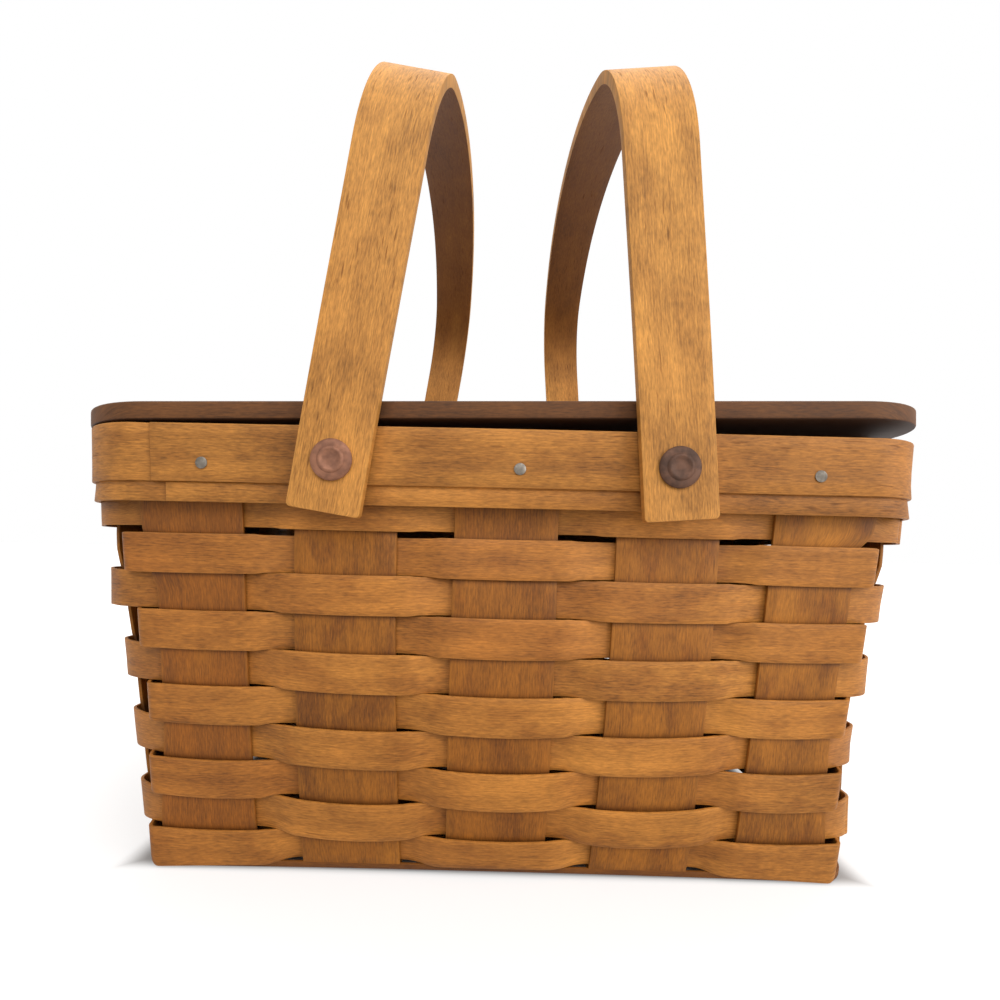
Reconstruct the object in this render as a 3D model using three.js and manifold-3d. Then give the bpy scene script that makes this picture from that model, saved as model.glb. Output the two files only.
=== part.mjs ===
// Picnic basket woven from wood splints, with a one-board lid and two swing handles.
// Millimetres, +X right, +Y back, +Z up, origin at the middle of the base on the ground.
// Splints run from the rim down a wall, under the basket and up the opposite wall.
// Flat weavers go round them in hoops, and three bands pinch the tops together at the rim.

import * as THREE from 'three';
import { mergeVertices } from 'three/addons/utils/BufferGeometryUtils.js';
import Module from 'manifold-3d';

const wasm = await Module();
wasm.setup();

// Driving dimensions: the woven body, at the middle of the splints' thickness
const rimHeight = 183;
const rimHalfWidth = 169;
const rimHalfDepth = 131;
const baseHalfWidth = 156;
const baseHalfDepth = 115;
const rimCornerRadius = 28;
const baseCornerRadius = 10;
const longWallBulge = 9;
const longWallRimBulge = 2;
const shortWallBulge = 6;
const shortWallRimBulge = 1;

// Splints and weavers
const splintThickness = 1.5;
const splintTopDrop = 0.6;
const splintMargin = 0.5;
const bottomSplintMargin = 1;
const longWallSplints = 5;
const longSplintWidth = 41;
const longRimPitch = 62;
const longBasePitch = 60;
const shortWallSplints = 4;
const shortSplintWidth = 38;
const shortRimPitch = 55.5;
const shortBasePitch = 55.5;
const foldRadius = 2.2;
const weaverThickness = 1.3;
const weaverRows = 10;
const topWeaverSlit = 2.9;
const lowestWeaverBase = 3.2;
const lowestWeaverRise = 1.2;
const rimWeaverHeight = 22.9;
const rimWeaverDrop = 0.8;
const lapLead = 1.5;

// Rim bands
const innerBandThickness = 2.4;
const underBandThickness = 2.2;
const underBandHeight = 29.7;
const underBandLapLeft = 131;
const outerBandThickness = 2.75;
const bandHeight = 22.1;
const outerBandLapLeft = 136;
const bandLapLength = 34;
const bandLapTaper = 1;
const bandSlack = 0.5;

// Handles
const handleWidth = 27.5;
const handleThickness = 4.5;
const handleHeight = 197;
const handleLegHeight = 118;
const handleShoulderRadius = 57;
const handleEdge = 0.9;
const handleEndRadius = 3;
const pivotX = 64;
const pivotBelowRim = 14;
const handleTail = 19.5;
const handleRunningGap = 0.8;
const leftHandleLean = 9;
const rightHandleLean = -4.5;

// Lid
const lidEndOverhang = 0.9;
const lidSideSetback = 0.6;
const lidThickness = 7;
const lidCornerRadius = 42;
const lidEdge = 1;
const lidCentreX = 1.1;
const cleatThickness = 7;
const cleatWidth = 18;
const cleatLength = 196;
const cleatEdge = 1;
const cleatSetback = 13.8;

// Fasteners
const rivetHeadRadius = 7.75;
const rivetHeadHeight = 2.4;
const rivetShankRadius = 2.5;
const rivetUpsetRadius = 3.6;
const burrRadius = 6.5;
const burrThickness = 1.2;
const nailHeadRadius = 2.3;
const nailHeadHeight = 0.5;
const nailShankRadius = 0.9;
const nailClinchRadius = 1.6;
const nailClinchHeight = 0.5;
const nailBelowRim = 15;
const cleatNailBite = 3.4;
const cleatNailPoint = 1;
const cleatNailSpacing = 130;
const holeToolLength = 60;
const clearance = 0.3;
const nailSegments = 10;
const rivetSegments = 18;
const shoulderSteps = 6;
const crownSteps = 5;

const degrees = Math.PI / 180;
const blend = (from, to, share) => from + (to - from) * share;

// Materials
const finish = (color, roughness, metalness = 0) =>
  new THREE.MeshStandardMaterial({ color, roughness, metalness });
const splintWood = () => finish(0xa9713a, 0.62);
const weaverWood = () => finish(0xb87b42, 0.58);
const bandWood = () => finish(0xb5783f, 0.55);
const handleWood = () => finish(0xcf9a5c, 0.5);
const lidWood = () => finish(0x6d4626, 0.55);
const copper = () => finish(0x8a6249, 0.5, 0.7);
const steel = () => finish(0x95897b, 0.45, 0.8);

// The wall surface. Each side has a coordinate s along it, and the four run on round the
// basket. A point past the end of the straight stretch lies on the round corner.
const widthAt = (k) => blend(baseHalfWidth, rimHalfWidth, k);
const depthAt = (k) => blend(baseHalfDepth, rimHalfDepth, k);
const longWall = {
  reach: depthAt, half: widthAt, bulge: longWallBulge, rimBulge: longWallRimBulge,
  count: longWallSplints, width: longSplintWidth, rimPitch: longRimPitch, basePitch: longBasePitch,
};
const shortWall = {
  reach: widthAt, half: depthAt, bulge: shortWallBulge, rimBulge: shortWallRimBulge,
  count: shortWallSplints, width: shortSplintWidth, rimPitch: shortRimPitch, basePitch: shortBasePitch,
};
const front = { ...longWall, along: [1, 0], outward: [0, -1] };
const right = { ...shortWall, along: [0, 1], outward: [1, 0] };
const back = { ...longWall, along: [-1, 0], outward: [0, 1] };
const left = { ...shortWall, along: [0, -1], outward: [-1, 0] };
const sides = [front, right, back, left];

const cornerRadiusAt = (z) => blend(baseCornerRadius, rimCornerRadius, z / rimHeight);
const straightEnd = (side, z) => side.half(z / rimHeight) - cornerRadiusAt(z);

// Heights that hang on the rim. The rows of weavers fill the wall up to the wide one at the rim.
const splintTop = rimHeight - splintTopDrop;
const pivotHeight = rimHeight - pivotBelowRim;
const nailHeight = rimHeight - nailBelowRim;
const rimWeaverTop = rimHeight - rimWeaverDrop;
const rimWeaverBase = rimWeaverTop - rimWeaverHeight;
const wovenHeight = rimWeaverBase - clearance - lowestWeaverBase;
const weaverHeight = (wovenHeight - topWeaverSlit - (weaverRows - 2) * clearance) / weaverRows;
const topWeaverBase = rimWeaverBase - clearance - weaverHeight;

// The walls belly out below the top weaver and are straight above it
function bulgeAt(side, s, z) {
  const t = Math.min(1, z / topWeaverBase);
  const share = Math.min(1, Math.abs(s) / straightEnd(side, z));
  return (side.bulge * 4 * t * (1 - t) + side.rimBulge * z / rimHeight) * (1 - share * share) ** 2;
}

// How far out the wall is at s and z, and how far along, when moved out by an offset
function wallPlan(side, s, z, offset) {
  const end = straightEnd(side, z);
  const reach = side.reach(z / rimHeight);
  const over = Math.abs(s) - end;
  if (over <= 0) {
    return { along: s, out: reach + bulgeAt(side, s, z) + offset };
  }
  const radius = cornerRadiusAt(z);
  const turn = Math.asin(Math.min(1, over / radius));
  return {
    along: Math.sign(s) * (end + (radius + offset) * Math.sin(turn)),
    out: reach - radius + (radius + offset) * Math.cos(turn),
  };
}

function wallPoint(side, s, z, offset) {
  const { along, out } = wallPlan(side, s, z, offset);
  const x = side.along[0] * along + side.outward[0] * out;
  const y = side.along[1] * along + side.outward[1] * out;
  return new THREE.Vector3(x, y, z);
}

const splintCentre = (side, index, z) =>
  (index - (side.count - 1) / 2) * blend(side.basePitch, side.rimPitch, z / rimHeight);

// Turns every face outward, going by the sign of the volume
function outwardFacing(geometry) {
  const p = geometry.getAttribute('position');
  const index = geometry.getIndex().array;
  const [a, b, c] = [new THREE.Vector3(), new THREE.Vector3(), new THREE.Vector3()];
  let volume = 0;
  for (let i = 0; i < index.length; i += 3) {
    a.fromBufferAttribute(p, index[i]);
    b.fromBufferAttribute(p, index[i + 1]);
    c.fromBufferAttribute(p, index[i + 2]);
    volume += a.dot(b.cross(c));
  }
  if (volume < 0) {
    for (let i = 0; i < index.length; i += 3) {
      [index[i + 1], index[i + 2]] = [index[i + 2], index[i + 1]];
    }
  }
  return geometry;
}

// A solid strip from rings of points, each running along the outer face and back along the
// inner one. Both faces are split along the same diagonal, so that layers nest.
function loft(rings) {
  const size = rings[0].length;
  const index = [];
  for (let r = 0; r + 1 < rings.length; r += 1) {
    for (let i = 0; i < size; i += 1) {
      const a = r * size + i;
      const b = r * size + (i + 1) % size;
      if (i < size / 2) {
        index.push(a, b, b + size, a, b + size, a + size);
      } else {
        index.push(a, b, a + size, b, b + size, a + size);
      }
    }
  }
  const last = (rings.length - 1) * size;
  for (let i = 1; i + 1 < size; i += 1) {
    index.push(0, i + 1, i);
    index.push(last, last + i, last + i + 1);
  }
  const geometry = new THREE.BufferGeometry();
  geometry.setAttribute('position', new THREE.Float32BufferAttribute(
    rings.flat().flatMap((v) => [v.x, v.y, v.z]), 3));
  geometry.setIndex(index);
  return outwardFacing(geometry);
}

function joined(geometry) {
  const bare = geometry.clone();
  bare.deleteAttribute('normal');
  bare.deleteAttribute('uv');
  return outwardFacing(mergeVertices(bare, 1e-4));
}

// Holes are cut with the merged, bare geometry
function toSolid(geometry) {
  const bare = joined(geometry);
  return new wasm.Manifold(new wasm.Mesh({
    numProp: 3,
    vertProperties: new Float32Array(bare.getAttribute('position').array),
    triVerts: new Uint32Array(bare.getIndex().array),
  }));
}

function drilled(geometry, tools) {
  let solid = toSolid(geometry);
  for (const tool of tools) {
    solid = solid.subtract(toSolid(tool));
  }
  const mesh = solid.getMesh();
  const result = new THREE.BufferGeometry();
  result.setAttribute('position', new THREE.Float32BufferAttribute(mesh.vertProperties, 3));
  result.setIndex(Array.from(mesh.triVerts));
  return result;
}

function holeAcross(side, s, z, radius) {
  const tool = new THREE.CylinderGeometry(radius, radius, holeToolLength, nailSegments);
  if (side.outward[0] !== 0) {
    tool.rotateZ(Math.PI / 2);
  }
  const middle = wallPoint(side, s, z, 0);
  return tool.translate(middle.x, middle.y, middle.z);
}

// Offsets of the layers from the middle of the splints
const splintFace = splintThickness / 2;
const weaverInside = splintFace + clearance;
const weaverMiddle = weaverInside + weaverThickness / 2;
const weaverOutside = weaverInside + weaverThickness;
const underBandInside = weaverOutside + bandSlack;
const underBandOutside = underBandInside + underBandThickness;
const outerBandInside = underBandOutside + clearance;
const outerBandOutside = outerBandInside + outerBandThickness;
const innerBandOutside = -(weaverOutside + bandSlack);
const innerBandInside = innerBandOutside - innerBandThickness;

const model = new THREE.Group();
function addNode(name, geometry, material, parent = model) {
  const mesh = new THREE.Mesh(geometry, material);
  mesh.name = name;
  parent.add(mesh);
  return mesh;
}

// Fasteners of the rim: their places decide the holes
const frontNails = [0, 2, 4].map((i) => ({ side: front, s: splintCentre(front, i, nailHeight) }));
const rightNails = [1, 2].map((i) => ({ side: right, s: splintCentre(right, i, nailHeight) }));
const backNails = [0, 2, 4].map((i) => ({ side: back, s: splintCentre(back, i, nailHeight) }));
const leftNails = [1, 2].map((i) => ({ side: left, s: splintCentre(left, i, nailHeight) }));
const rimNails = [...frontNails, ...rightNails, ...backNails, ...leftNails];
const pivots = [
  { name: 'left_front', side: front, s: -pivotX },
  { name: 'right_front', side: front, s: pivotX },
  { name: 'left_back', side: back, s: pivotX },
  { name: 'right_back', side: back, s: -pivotX },
];
const rimHoles = () => [
  ...rimNails.map(({ side, s }) => holeAcross(side, s, nailHeight, nailShankRadius + clearance)),
  ...pivots.map(({ side, s }) => holeAcross(side, s, pivotHeight, rivetShankRadius + clearance)),
];

// Splints: a strip from rim to rim. Each ring holds the outer face and the inner face.
const splintBottom = 2 * splintThickness + clearance;
const longSplintLevel = splintBottom - splintFace;
const underLevel = splintFace;
const overLevel = longSplintLevel + splintThickness + clearance;
const weaverPitch = weaverHeight + clearance;
const rowBase = (row) =>
  (row === 0 ? topWeaverBase : lowestWeaverBase + (weaverRows - 1 - row) * weaverPitch);
const foldHeight = longSplintLevel + foldRadius;
const wallLevels = [splintTop, rimWeaverBase];
for (let row = 0; row < weaverRows - 1; row += 1) {
  wallLevels.push(rowBase(row));
}

function splintRings(side, index, bottomStations) {
  const across = [-side.width / 2, side.width / 2];
  const opposite = sides[(sides.indexOf(side) + 2) % sides.length];
  const wallRing = (wall, mirror, z) => {
    const at = (offset) => across.map((dx) =>
      wallPoint(wall, mirror * (splintCentre(side, index, z) + dx), z, offset));
    return [...at(splintFace), ...at(-splintFace).reverse()];
  };
  const foldRing = (wall, mirror, angle) => {
    const z = foldHeight;
    const out = new THREE.Vector3(wall.outward[0], wall.outward[1], 0);
    const direction = out.clone().multiplyScalar(Math.cos(angle));
    direction.z = -Math.sin(angle);
    const at = (offset) => across.map((dx) => {
      const foot = wallPoint(wall, mirror * (splintCentre(side, index, z) + dx), z, 0);
      return foot.addScaledVector(out, -foldRadius).addScaledVector(direction, foldRadius + offset);
    });
    return [...at(splintFace), ...at(-splintFace).reverse()];
  };
  const bottomRing = ({ along, level }) => {
    const at = (offset) => across.map((dx) => {
      const s = splintCentre(side, index, 0) + dx;
      const x = side.along[0] * s - side.outward[0] * along;
      const y = side.along[1] * s - side.outward[1] * along;
      return new THREE.Vector3(x, y, level - offset);
    });
    return [...at(splintFace), ...at(-splintFace).reverse()];
  };
  const angles = [0, 30, 60, 90].map((a) => a * degrees);
  return [
    ...wallLevels.map((z) => wallRing(side, 1, z)),
    ...angles.map((a) => foldRing(side, 1, a)),
    ...bottomStations.map(bottomRing),
    ...angles.toReversed().map((a) => foldRing(opposite, -1, a)),
    ...wallLevels.toReversed().map((z) => wallRing(opposite, -1, z)),
  ];
}

for (let i = 0; i < longWallSplints; i += 1) {
  const rings = splintRings(front, i, []);
  addNode(`splint_front_back_${i + 1}`, drilled(loft(rings), rimHoles()), splintWood());
}

// The side-to-side splints weave over and under the others across the bottom
function shortSplintBottom(index) {
  const stations = [];
  const margin = longSplintWidth / 2 + bottomSplintMargin;
  for (let i = 0; i < longWallSplints; i += 1) {
    const level = (i + index) % 2 === 0 ? overLevel : underLevel;
    const centre = splintCentre(front, i, 0);
    stations.push({ along: centre - margin, level }, { along: centre + margin, level });
  }
  return stations;
}

for (let j = 0; j < shortWallSplints; j += 1) {
  const rings = splintRings(left, j, shortSplintBottom(shortWallSplints - 1 - j));
  addNode(`splint_side_${j + 1}`, drilled(loft(rings), rimHoles()), splintWood());
}

// Weavers: hoops that pass outside one splint and inside the next
const posts = sides.flatMap((side) => Array.from({ length: side.count }, (_, i) => ({ side, i })));

function postStations(post, sign, offset = sign * weaverMiddle) {
  const margin = post.side.width / 2 + splintMargin;
  const centre = (z) => splintCentre(post.side, post.i, z);
  return [-margin, margin].map((shift) => ({
    side: post.side, s: (z) => centre(z) + shift, offset, inside: sign < 0,
  }));
}

// Between the last post of a wall and the first of the next, the hoop turns the corner
function cornerStations(from, to, steps = 3) {
  const stations = [];
  const turnAt = (station, z) => {
    const over = Math.abs(station.s(z)) - straightEnd(station.side, z);
    return Math.asin(Math.min(1, Math.max(0, over / cornerRadiusAt(z))));
  };
  for (let n = 1; n <= steps; n += 1) {
    const share = n / (steps + 1);
    const onFirst = share <= 0.5;
    const side = onFirst ? from.side : to.side;
    const s = (z) => {
      const turn = blend(turnAt(from, z), Math.PI / 2 - turnAt(to, z), share);
      const own = onFirst ? turn : Math.PI / 2 - turn;
      const distance = straightEnd(side, z) + cornerRadiusAt(z) * Math.sin(own);
      return onFirst ? distance : -distance;
    };
    stations.push({ side, s, offset: blend(from.offset, to.offset, share), inside: false });
  }
  return stations;
}

function weaverRings(row, base, top, startPost, lapped) {
  const stations = [];
  for (let n = 0; n < posts.length; n += 1) {
    const k = (startPost + n) % posts.length;
    const sign = (k + row) % 2 === 0 ? -1 : 1;
    const next = postStations(posts[k], sign);
    const previous = stations.at(-1);
    if (previous && previous.side !== posts[k].side) {
      stations.push(...cornerStations(previous, next[0]));
    }
    stations.push(...next);
  }
  if (lapped) {
    const deep = -(weaverOutside + clearance + weaverThickness / 2);
    const [near, far] = postStations(posts[startPost], -1, deep);
    stations.push({ ...near, s: (z) => near.s(z) - lapLead }, { ...far, s: (z) => far.s(z) - lapLead });
  } else {
    const lead = stations[0].s;
    const tail = stations.at(-1);
    stations.push({ ...tail, side: stations[0].side, s: (z) => lead(z) - lapLead, offset: -weaverMiddle });
  }
  return stations.map(({ side, s, offset, inside }) => {
    const low = base + (inside && row === weaverRows - 1 ? lowestWeaverRise : 0);
    const half = weaverThickness / 2;
    return [
      wallPoint(side, s(top), top, offset + half), wallPoint(side, s(low), low, offset + half),
      wallPoint(side, s(low), low, offset - half), wallPoint(side, s(top), top, offset - half),
    ];
  });
}

const backPostsStart = longWallSplints + shortWallSplints;
for (let row = 0; row < weaverRows; row += 1) {
  const startPost = backPostsStart + 1 + row % 4;
  const rings = weaverRings(row, rowBase(row), rowBase(row) + weaverHeight, startPost, true);
  addNode(`weaver_row_${String(row + 1).padStart(2, '0')}`, loft(rings), weaverWood());
}
const rimWeaverRings = weaverRings(-1, rimWeaverBase, rimWeaverTop, backPostsStart + 2, false);
addNode('weaver_under_rim', drilled(loft(rimWeaverRings), rimHoles()), weaverWood());

// Rim bands: open strips whose ends are thinned and lap each other. A station on a straight
// stretch has its place as a share of that stretch, and one on a corner as its turn.
const straightShares = [-1, -0.7, -0.35, 0, 0.35, 0.7, 1];
const leavingTurns = [9, 27, 45];
const arrivingTurns = [-27, -9];

function bandStations(order, start, [inside, outside]) {
  const middle = (inside + outside) / 2;
  const halfGap = Math.sign(outside - inside) * clearance / 2;
  const lapEnd = start + bandLapLength;
  const full = [inside, outside];
  const over = [middle + halfGap, outside];
  const under = [inside, middle - halfGap];
  const stations = [];
  order.forEach((side, n) => {
    const straight = straightEnd(side, rimHeight);
    if (n > 0) {
      stations.push(...arrivingTurns.map((turn) => ({ side, turn, offsets: full })));
    }
    const places = straightShares.map((share) => share * straight);
    stations.push(...places.map((s) => ({ side, s, offsets: full })));
    stations.push(...leavingTurns.map((turn) => ({ side, turn, offsets: full })));
  });
  const [side] = order;
  const afterLap = stations.filter((station) =>
    station.side !== side || station.turn || station.s > lapEnd + bandLapTaper);
  return [
    { side, s: start, offsets: over }, { side, s: lapEnd, offsets: over },
    { side, s: lapEnd + bandLapTaper, offsets: full },
    ...afterLap,
    ...arrivingTurns.map((turn) => ({ side, turn, offsets: full })),
    { side, s: start - clearance - bandLapTaper, offsets: full },
    { side, s: start - clearance, offsets: under }, { side, s: lapEnd - bandLapTaper, offsets: under },
  ];
}

function bandRings(order, start, bandOffsets, base, top) {
  return bandStations(order, start, bandOffsets).map(({ side, s, turn, offsets: [inside, outside] }) => {
    const place = (z) => (turn === undefined ? s : Math.sign(turn) *
      (straightEnd(side, z) + cornerRadiusAt(z) * Math.sin(Math.abs(turn) * degrees)));
    return [
      wallPoint(side, place(top), top, outside), wallPoint(side, place(base), base, outside),
      wallPoint(side, place(base), base, inside), wallPoint(side, place(top), top, inside),
    ];
  });
}

const fromFront = sides;
const fromBack = [back, left, front, right];
const bands = [
  ['rim_band_inner', fromBack, -outerBandLapLeft, [innerBandOutside, innerBandInside], bandHeight],
  ['rim_band_under', fromFront, -underBandLapLeft, [underBandInside, underBandOutside], underBandHeight],
  ['rim_band_outer', fromFront, -outerBandLapLeft, [outerBandInside, outerBandOutside], bandHeight],
];
for (const [name, order, start, offsets, height] of bands) {
  const rings = bandRings(order, start, offsets, rimHeight - height, rimHeight);
  addNode(name, drilled(loft(rings), rimHoles()), bandWood());
}

// Turned fasteners: the profile runs from the outer end to the inner one, y pointing outward
function turned(profile, segments = nailSegments) {
  return joined(new THREE.LatheGeometry(profile.map(([r, y]) => new THREE.Vector2(r, y)), segments));
}

function placeOutward(mesh, side, s, z) {
  const { along } = wallPlan(side, s, z, 0);
  mesh.position.set(side.along[0] * along, side.along[1] * along, z);
  mesh.rotation.z = Math.atan2(side.outward[1], side.outward[0]) - Math.PI / 2;
}

function nailProfile(seat, innerEnd) {
  return [
    [0, seat + nailHeadHeight], [nailHeadRadius * 0.7, seat + nailHeadHeight],
    [nailHeadRadius, seat + nailHeadHeight * 0.4], [nailHeadRadius, seat],
    [nailShankRadius, seat], [nailShankRadius, innerEnd],
    [nailClinchRadius, innerEnd], [nailClinchRadius * 0.6, innerEnd - nailClinchHeight],
    [0, innerEnd - nailClinchHeight],
  ];
}

// How far out the flat facet of a band lies under a round head, at its highest
function seatUnder(side, s, z, radius, offset) {
  const straight = straightEnd(side, rimHeight);
  const places = straightShares.map((share) => share * straight);
  const facetAt = (at, level) => {
    const end = places.findIndex((place) => place >= at);
    const [from, to] = [places[end - 1], places[end]];
    return blend(wallPlan(side, from, level, offset).out, wallPlan(side, to, level, offset).out,
      (at - from) / (to - from));
  };
  const reach = [-radius, 0, radius].flatMap((ds) =>
    [-radius, radius].map((dz) => facetAt(s + ds, z + dz)));
  return offset < 0 ? Math.min(...reach) : Math.max(...reach);
}

rimNails.forEach(({ side, s }, n) => {
  const seat = seatUnder(side, s, nailHeight, nailHeadRadius, outerBandOutside) + clearance / 2;
  const innerEnd = seatUnder(side, s, nailHeight, nailClinchRadius, innerBandInside) - clearance;
  const name = `rim_nail_${String(n + 1).padStart(2, '0')}`;
  placeOutward(addNode(name, turned(nailProfile(seat, innerEnd)), steel()), side, s, nailHeight);
});

// Handles hang outside the band on their rivets and clear it through their whole swing
const tightestSpot = pivotX - Math.hypot(handleTail, handleWidth / 2);
const handleInner = wallPlan(front, tightestSpot, rimHeight, outerBandOutside).out + handleRunningGap;
const handleMiddle = handleInner + handleThickness / 2;
const handleOuter = handleInner + handleThickness;

for (const { name, side, s } of pivots) {
  const headSeat = handleOuter + clearance;
  const burrFace = seatUnder(side, s, pivotHeight, burrRadius, innerBandInside) - clearance;
  const burrBack = burrFace - burrThickness;
  const upset = burrBack - clearance;
  const rivet = turned([
    [0, headSeat + rivetHeadHeight], [rivetHeadRadius * 0.45, headSeat + rivetHeadHeight],
    [rivetHeadRadius * 0.85, headSeat + rivetHeadHeight * 0.75],
    [rivetHeadRadius, headSeat + rivetHeadHeight * 0.35], [rivetHeadRadius, headSeat],
    [rivetShankRadius, headSeat], [rivetShankRadius, upset], [rivetUpsetRadius, upset],
    [rivetUpsetRadius * 0.7, upset - rivetShankRadius / 2], [0, upset - rivetShankRadius / 2],
  ], rivetSegments);
  placeOutward(addNode(`rivet_${name}`, rivet, copper()), side, s, pivotHeight);
  const hole = rivetShankRadius + clearance;
  const burr = turned([
    [hole, burrFace], [hole, burrBack], [burrRadius, burrBack], [burrRadius, burrFace], [hole, burrFace],
  ], rivetSegments);
  placeOutward(addNode(`rivet_burr_${name}`, burr, copper()), side, s, pivotHeight);
}

// Handle: one strap bent to an arch, in its own frame with the pivot at the origin. Straight legs
// run into tight shoulders, and a wide flat curve joins the shoulders over the top.
function handlePath() {
  const half = handleMiddle;
  const shoulder = handleShoulderRadius;
  const rise = handleHeight - handleThickness / 2 - handleLegHeight;
  const shoulderAngle = Math.PI / 2 - 2 * Math.atan((rise - shoulder) / (half - shoulder));
  const crown = (half - shoulder * (1 - Math.cos(shoulderAngle))) / Math.cos(shoulderAngle);
  const stations = [
    { y: -half, z: -handleTail, angle: 0, trim: handleEndRadius },
    { y: -half, z: -handleTail + handleEndRadius * 0.3, angle: 0, trim: handleEndRadius * 0.3 },
    { y: -half, z: -handleTail + handleEndRadius, angle: 0, trim: 0 },
  ];
  for (let step = 0; step <= shoulderSteps; step += 1) {
    const angle = shoulderAngle * step / shoulderSteps;
    const z = handleLegHeight + shoulder * Math.sin(angle);
    stations.push({ y: -half + shoulder * (1 - Math.cos(angle)), z, angle, trim: 0 });
  }
  const foot = stations.at(-1);
  for (let step = 1; step <= crownSteps; step += 1) {
    const angle = blend(shoulderAngle, Math.PI / 2, step / crownSteps);
    const y = foot.y + crown * (Math.cos(shoulderAngle) - Math.cos(angle));
    stations.push({ y, z: foot.z + crown * (Math.sin(angle) - Math.sin(shoulderAngle)), angle, trim: 0 });
  }
  const mirrored = stations.slice(0, -1).toReversed().map((station) =>
    ({ ...station, y: -station.y, angle: Math.PI - station.angle }));
  return [...stations, ...mirrored];
}

function handleRings() {
  const halfThickness = handleThickness / 2;
  return handlePath().map(({ y, z, angle, trim }) => {
    const halfWidth = handleWidth / 2 - trim;
    const corners = [
      [-halfWidth, halfThickness - handleEdge], [-halfWidth + handleEdge, halfThickness],
      [halfWidth - handleEdge, halfThickness], [halfWidth, halfThickness - handleEdge],
      [halfWidth, -halfThickness + handleEdge], [halfWidth - handleEdge, -halfThickness],
      [-halfWidth + handleEdge, -halfThickness], [-halfWidth, -halfThickness + handleEdge],
    ];
    return corners.map(([x, out]) =>
      new THREE.Vector3(x, y - out * Math.cos(angle), z + out * Math.sin(angle)));
  });
}

function handlePivotHole() {
  const radius = rivetShankRadius + clearance;
  const through = 2 * handleOuter + handleThickness;
  return new THREE.CylinderGeometry(radius, radius, through, rivetSegments);
}

const handles = [
  ['handle_left', -pivotX, leftHandleLean],
  ['handle_right', pivotX, rightHandleLean],
];
for (const [name, x, lean] of handles) {
  const swing = new THREE.Group();
  swing.position.set(x, 0, pivotHeight);
  swing.rotation.y = lean * degrees;
  model.add(swing);
  addNode(name, drilled(loft(handleRings()), [handlePivotHole()]), handleWood(), swing);
}

// Lid: a board with two cleats below. Its left end lies on the rim, and its right cleat,
// a little too far out to drop inside, rides on the inner band and lifts that end.
const lidLength = 2 * (rimHalfWidth + outerBandOutside + lidEndOverhang);
const lidDepth = 2 * (rimHalfDepth + outerBandOutside - lidSideSetback);
const cleatOutside = lidLength / 2 - cleatSetback;
const lidLeft = lidCentreX - lidLength / 2;
const rideX = widthAt(1) + innerBandInside;
const lidTilt = Math.atan((cleatThickness + clearance) / (rideX - lidLeft));
const lid = new THREE.Group();
lid.position.set(lidLeft, 0, rimHeight);
lid.rotation.y = -lidTilt;
model.add(lid);

function plate(length, depth, thickness, radius, edge, cornerSteps) {
  const shape = new THREE.Shape();
  const [x, y] = [length / 2, depth / 2];
  shape.moveTo(-x + radius, -y);
  shape.lineTo(x - radius, -y);
  shape.absarc(x - radius, -y + radius, radius, -Math.PI / 2, 0);
  shape.lineTo(x, y - radius);
  shape.absarc(x - radius, y - radius, radius, 0, Math.PI / 2);
  shape.lineTo(-x + radius, y);
  shape.absarc(-x + radius, y - radius, radius, Math.PI / 2, Math.PI);
  shape.lineTo(-x, -y + radius);
  shape.absarc(-x + radius, -y + radius, radius, Math.PI, 1.5 * Math.PI);
  const solid = new THREE.ExtrudeGeometry(shape, {
    depth: thickness - 2 * edge, bevelThickness: edge, bevelSize: edge, bevelOffset: -edge,
    bevelSegments: 1, curveSegments: cornerSteps,
  });
  return joined(solid.translate(0, 0, edge));
}

const cleatSides = [['left', -1], ['right', 1]];
const cleatCentre = (sign) => lidLength / 2 + sign * (cleatOutside - cleatWidth / 2);
const cleatNails = cleatSides.flatMap(([name, sign]) => [-1, 1].map((end) => ({
  name: `cleat_nail_${name}_${end < 0 ? 'front' : 'back'}`,
  cleat: name, x: cleatCentre(sign), y: end * cleatNailSpacing / 2,
})));
const cleatNailTip = cleatNailBite;
const cleatNailHole = ({ x, y }) => {
  const depth = cleatThickness + cleatNailTip + clearance;
  const radius = nailShankRadius + clearance;
  const tool = new THREE.CylinderGeometry(radius, radius, depth + cleatThickness, nailSegments);
  tool.rotateX(Math.PI / 2);
  return tool.translate(x, y, cleatNailTip + clearance - (depth + cleatThickness) / 2);
};

const board = plate(lidLength, lidDepth, lidThickness, lidCornerRadius, lidEdge, 8);
board.translate(lidLength / 2, 0, clearance);
addNode('lid_board', drilled(board, cleatNails.map(cleatNailHole)), lidWood(), lid);
for (const [name, sign] of cleatSides) {
  const bar = plate(cleatWidth, cleatLength, cleatThickness, cleatEdge * 2, cleatEdge, 1);
  bar.translate(cleatCentre(sign), 0, -cleatThickness);
  const holes = cleatNails.filter(({ cleat }) => cleat === name).map(cleatNailHole);
  addNode(`lid_cleat_${name}`, drilled(bar, holes), lidWood(), lid);
}
for (const { name, x, y } of cleatNails) {
  const seat = -cleatThickness - clearance;
  const nail = turned([
    [0, seat - nailHeadHeight], [nailHeadRadius * 0.7, seat - nailHeadHeight],
    [nailHeadRadius, seat - nailHeadHeight * 0.4], [nailHeadRadius, seat],
    [nailShankRadius, seat], [nailShankRadius, cleatNailTip - cleatNailPoint], [0, cleatNailTip],
  ]);
  nail.rotateX(Math.PI / 2);
  const mesh = addNode(name, nail, steel(), lid);
  mesh.position.set(x, y, 0);
}

export default model;
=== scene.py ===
"""Dresses the woven picnic basket: splints, weavers, rim bands, handles, lid and metal.

Lengths are written in millimetres and turned into metres when a piece is laid down."""

import math
import random

import bpy
import numpy as np
from mathutils import Matrix, Vector


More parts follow.
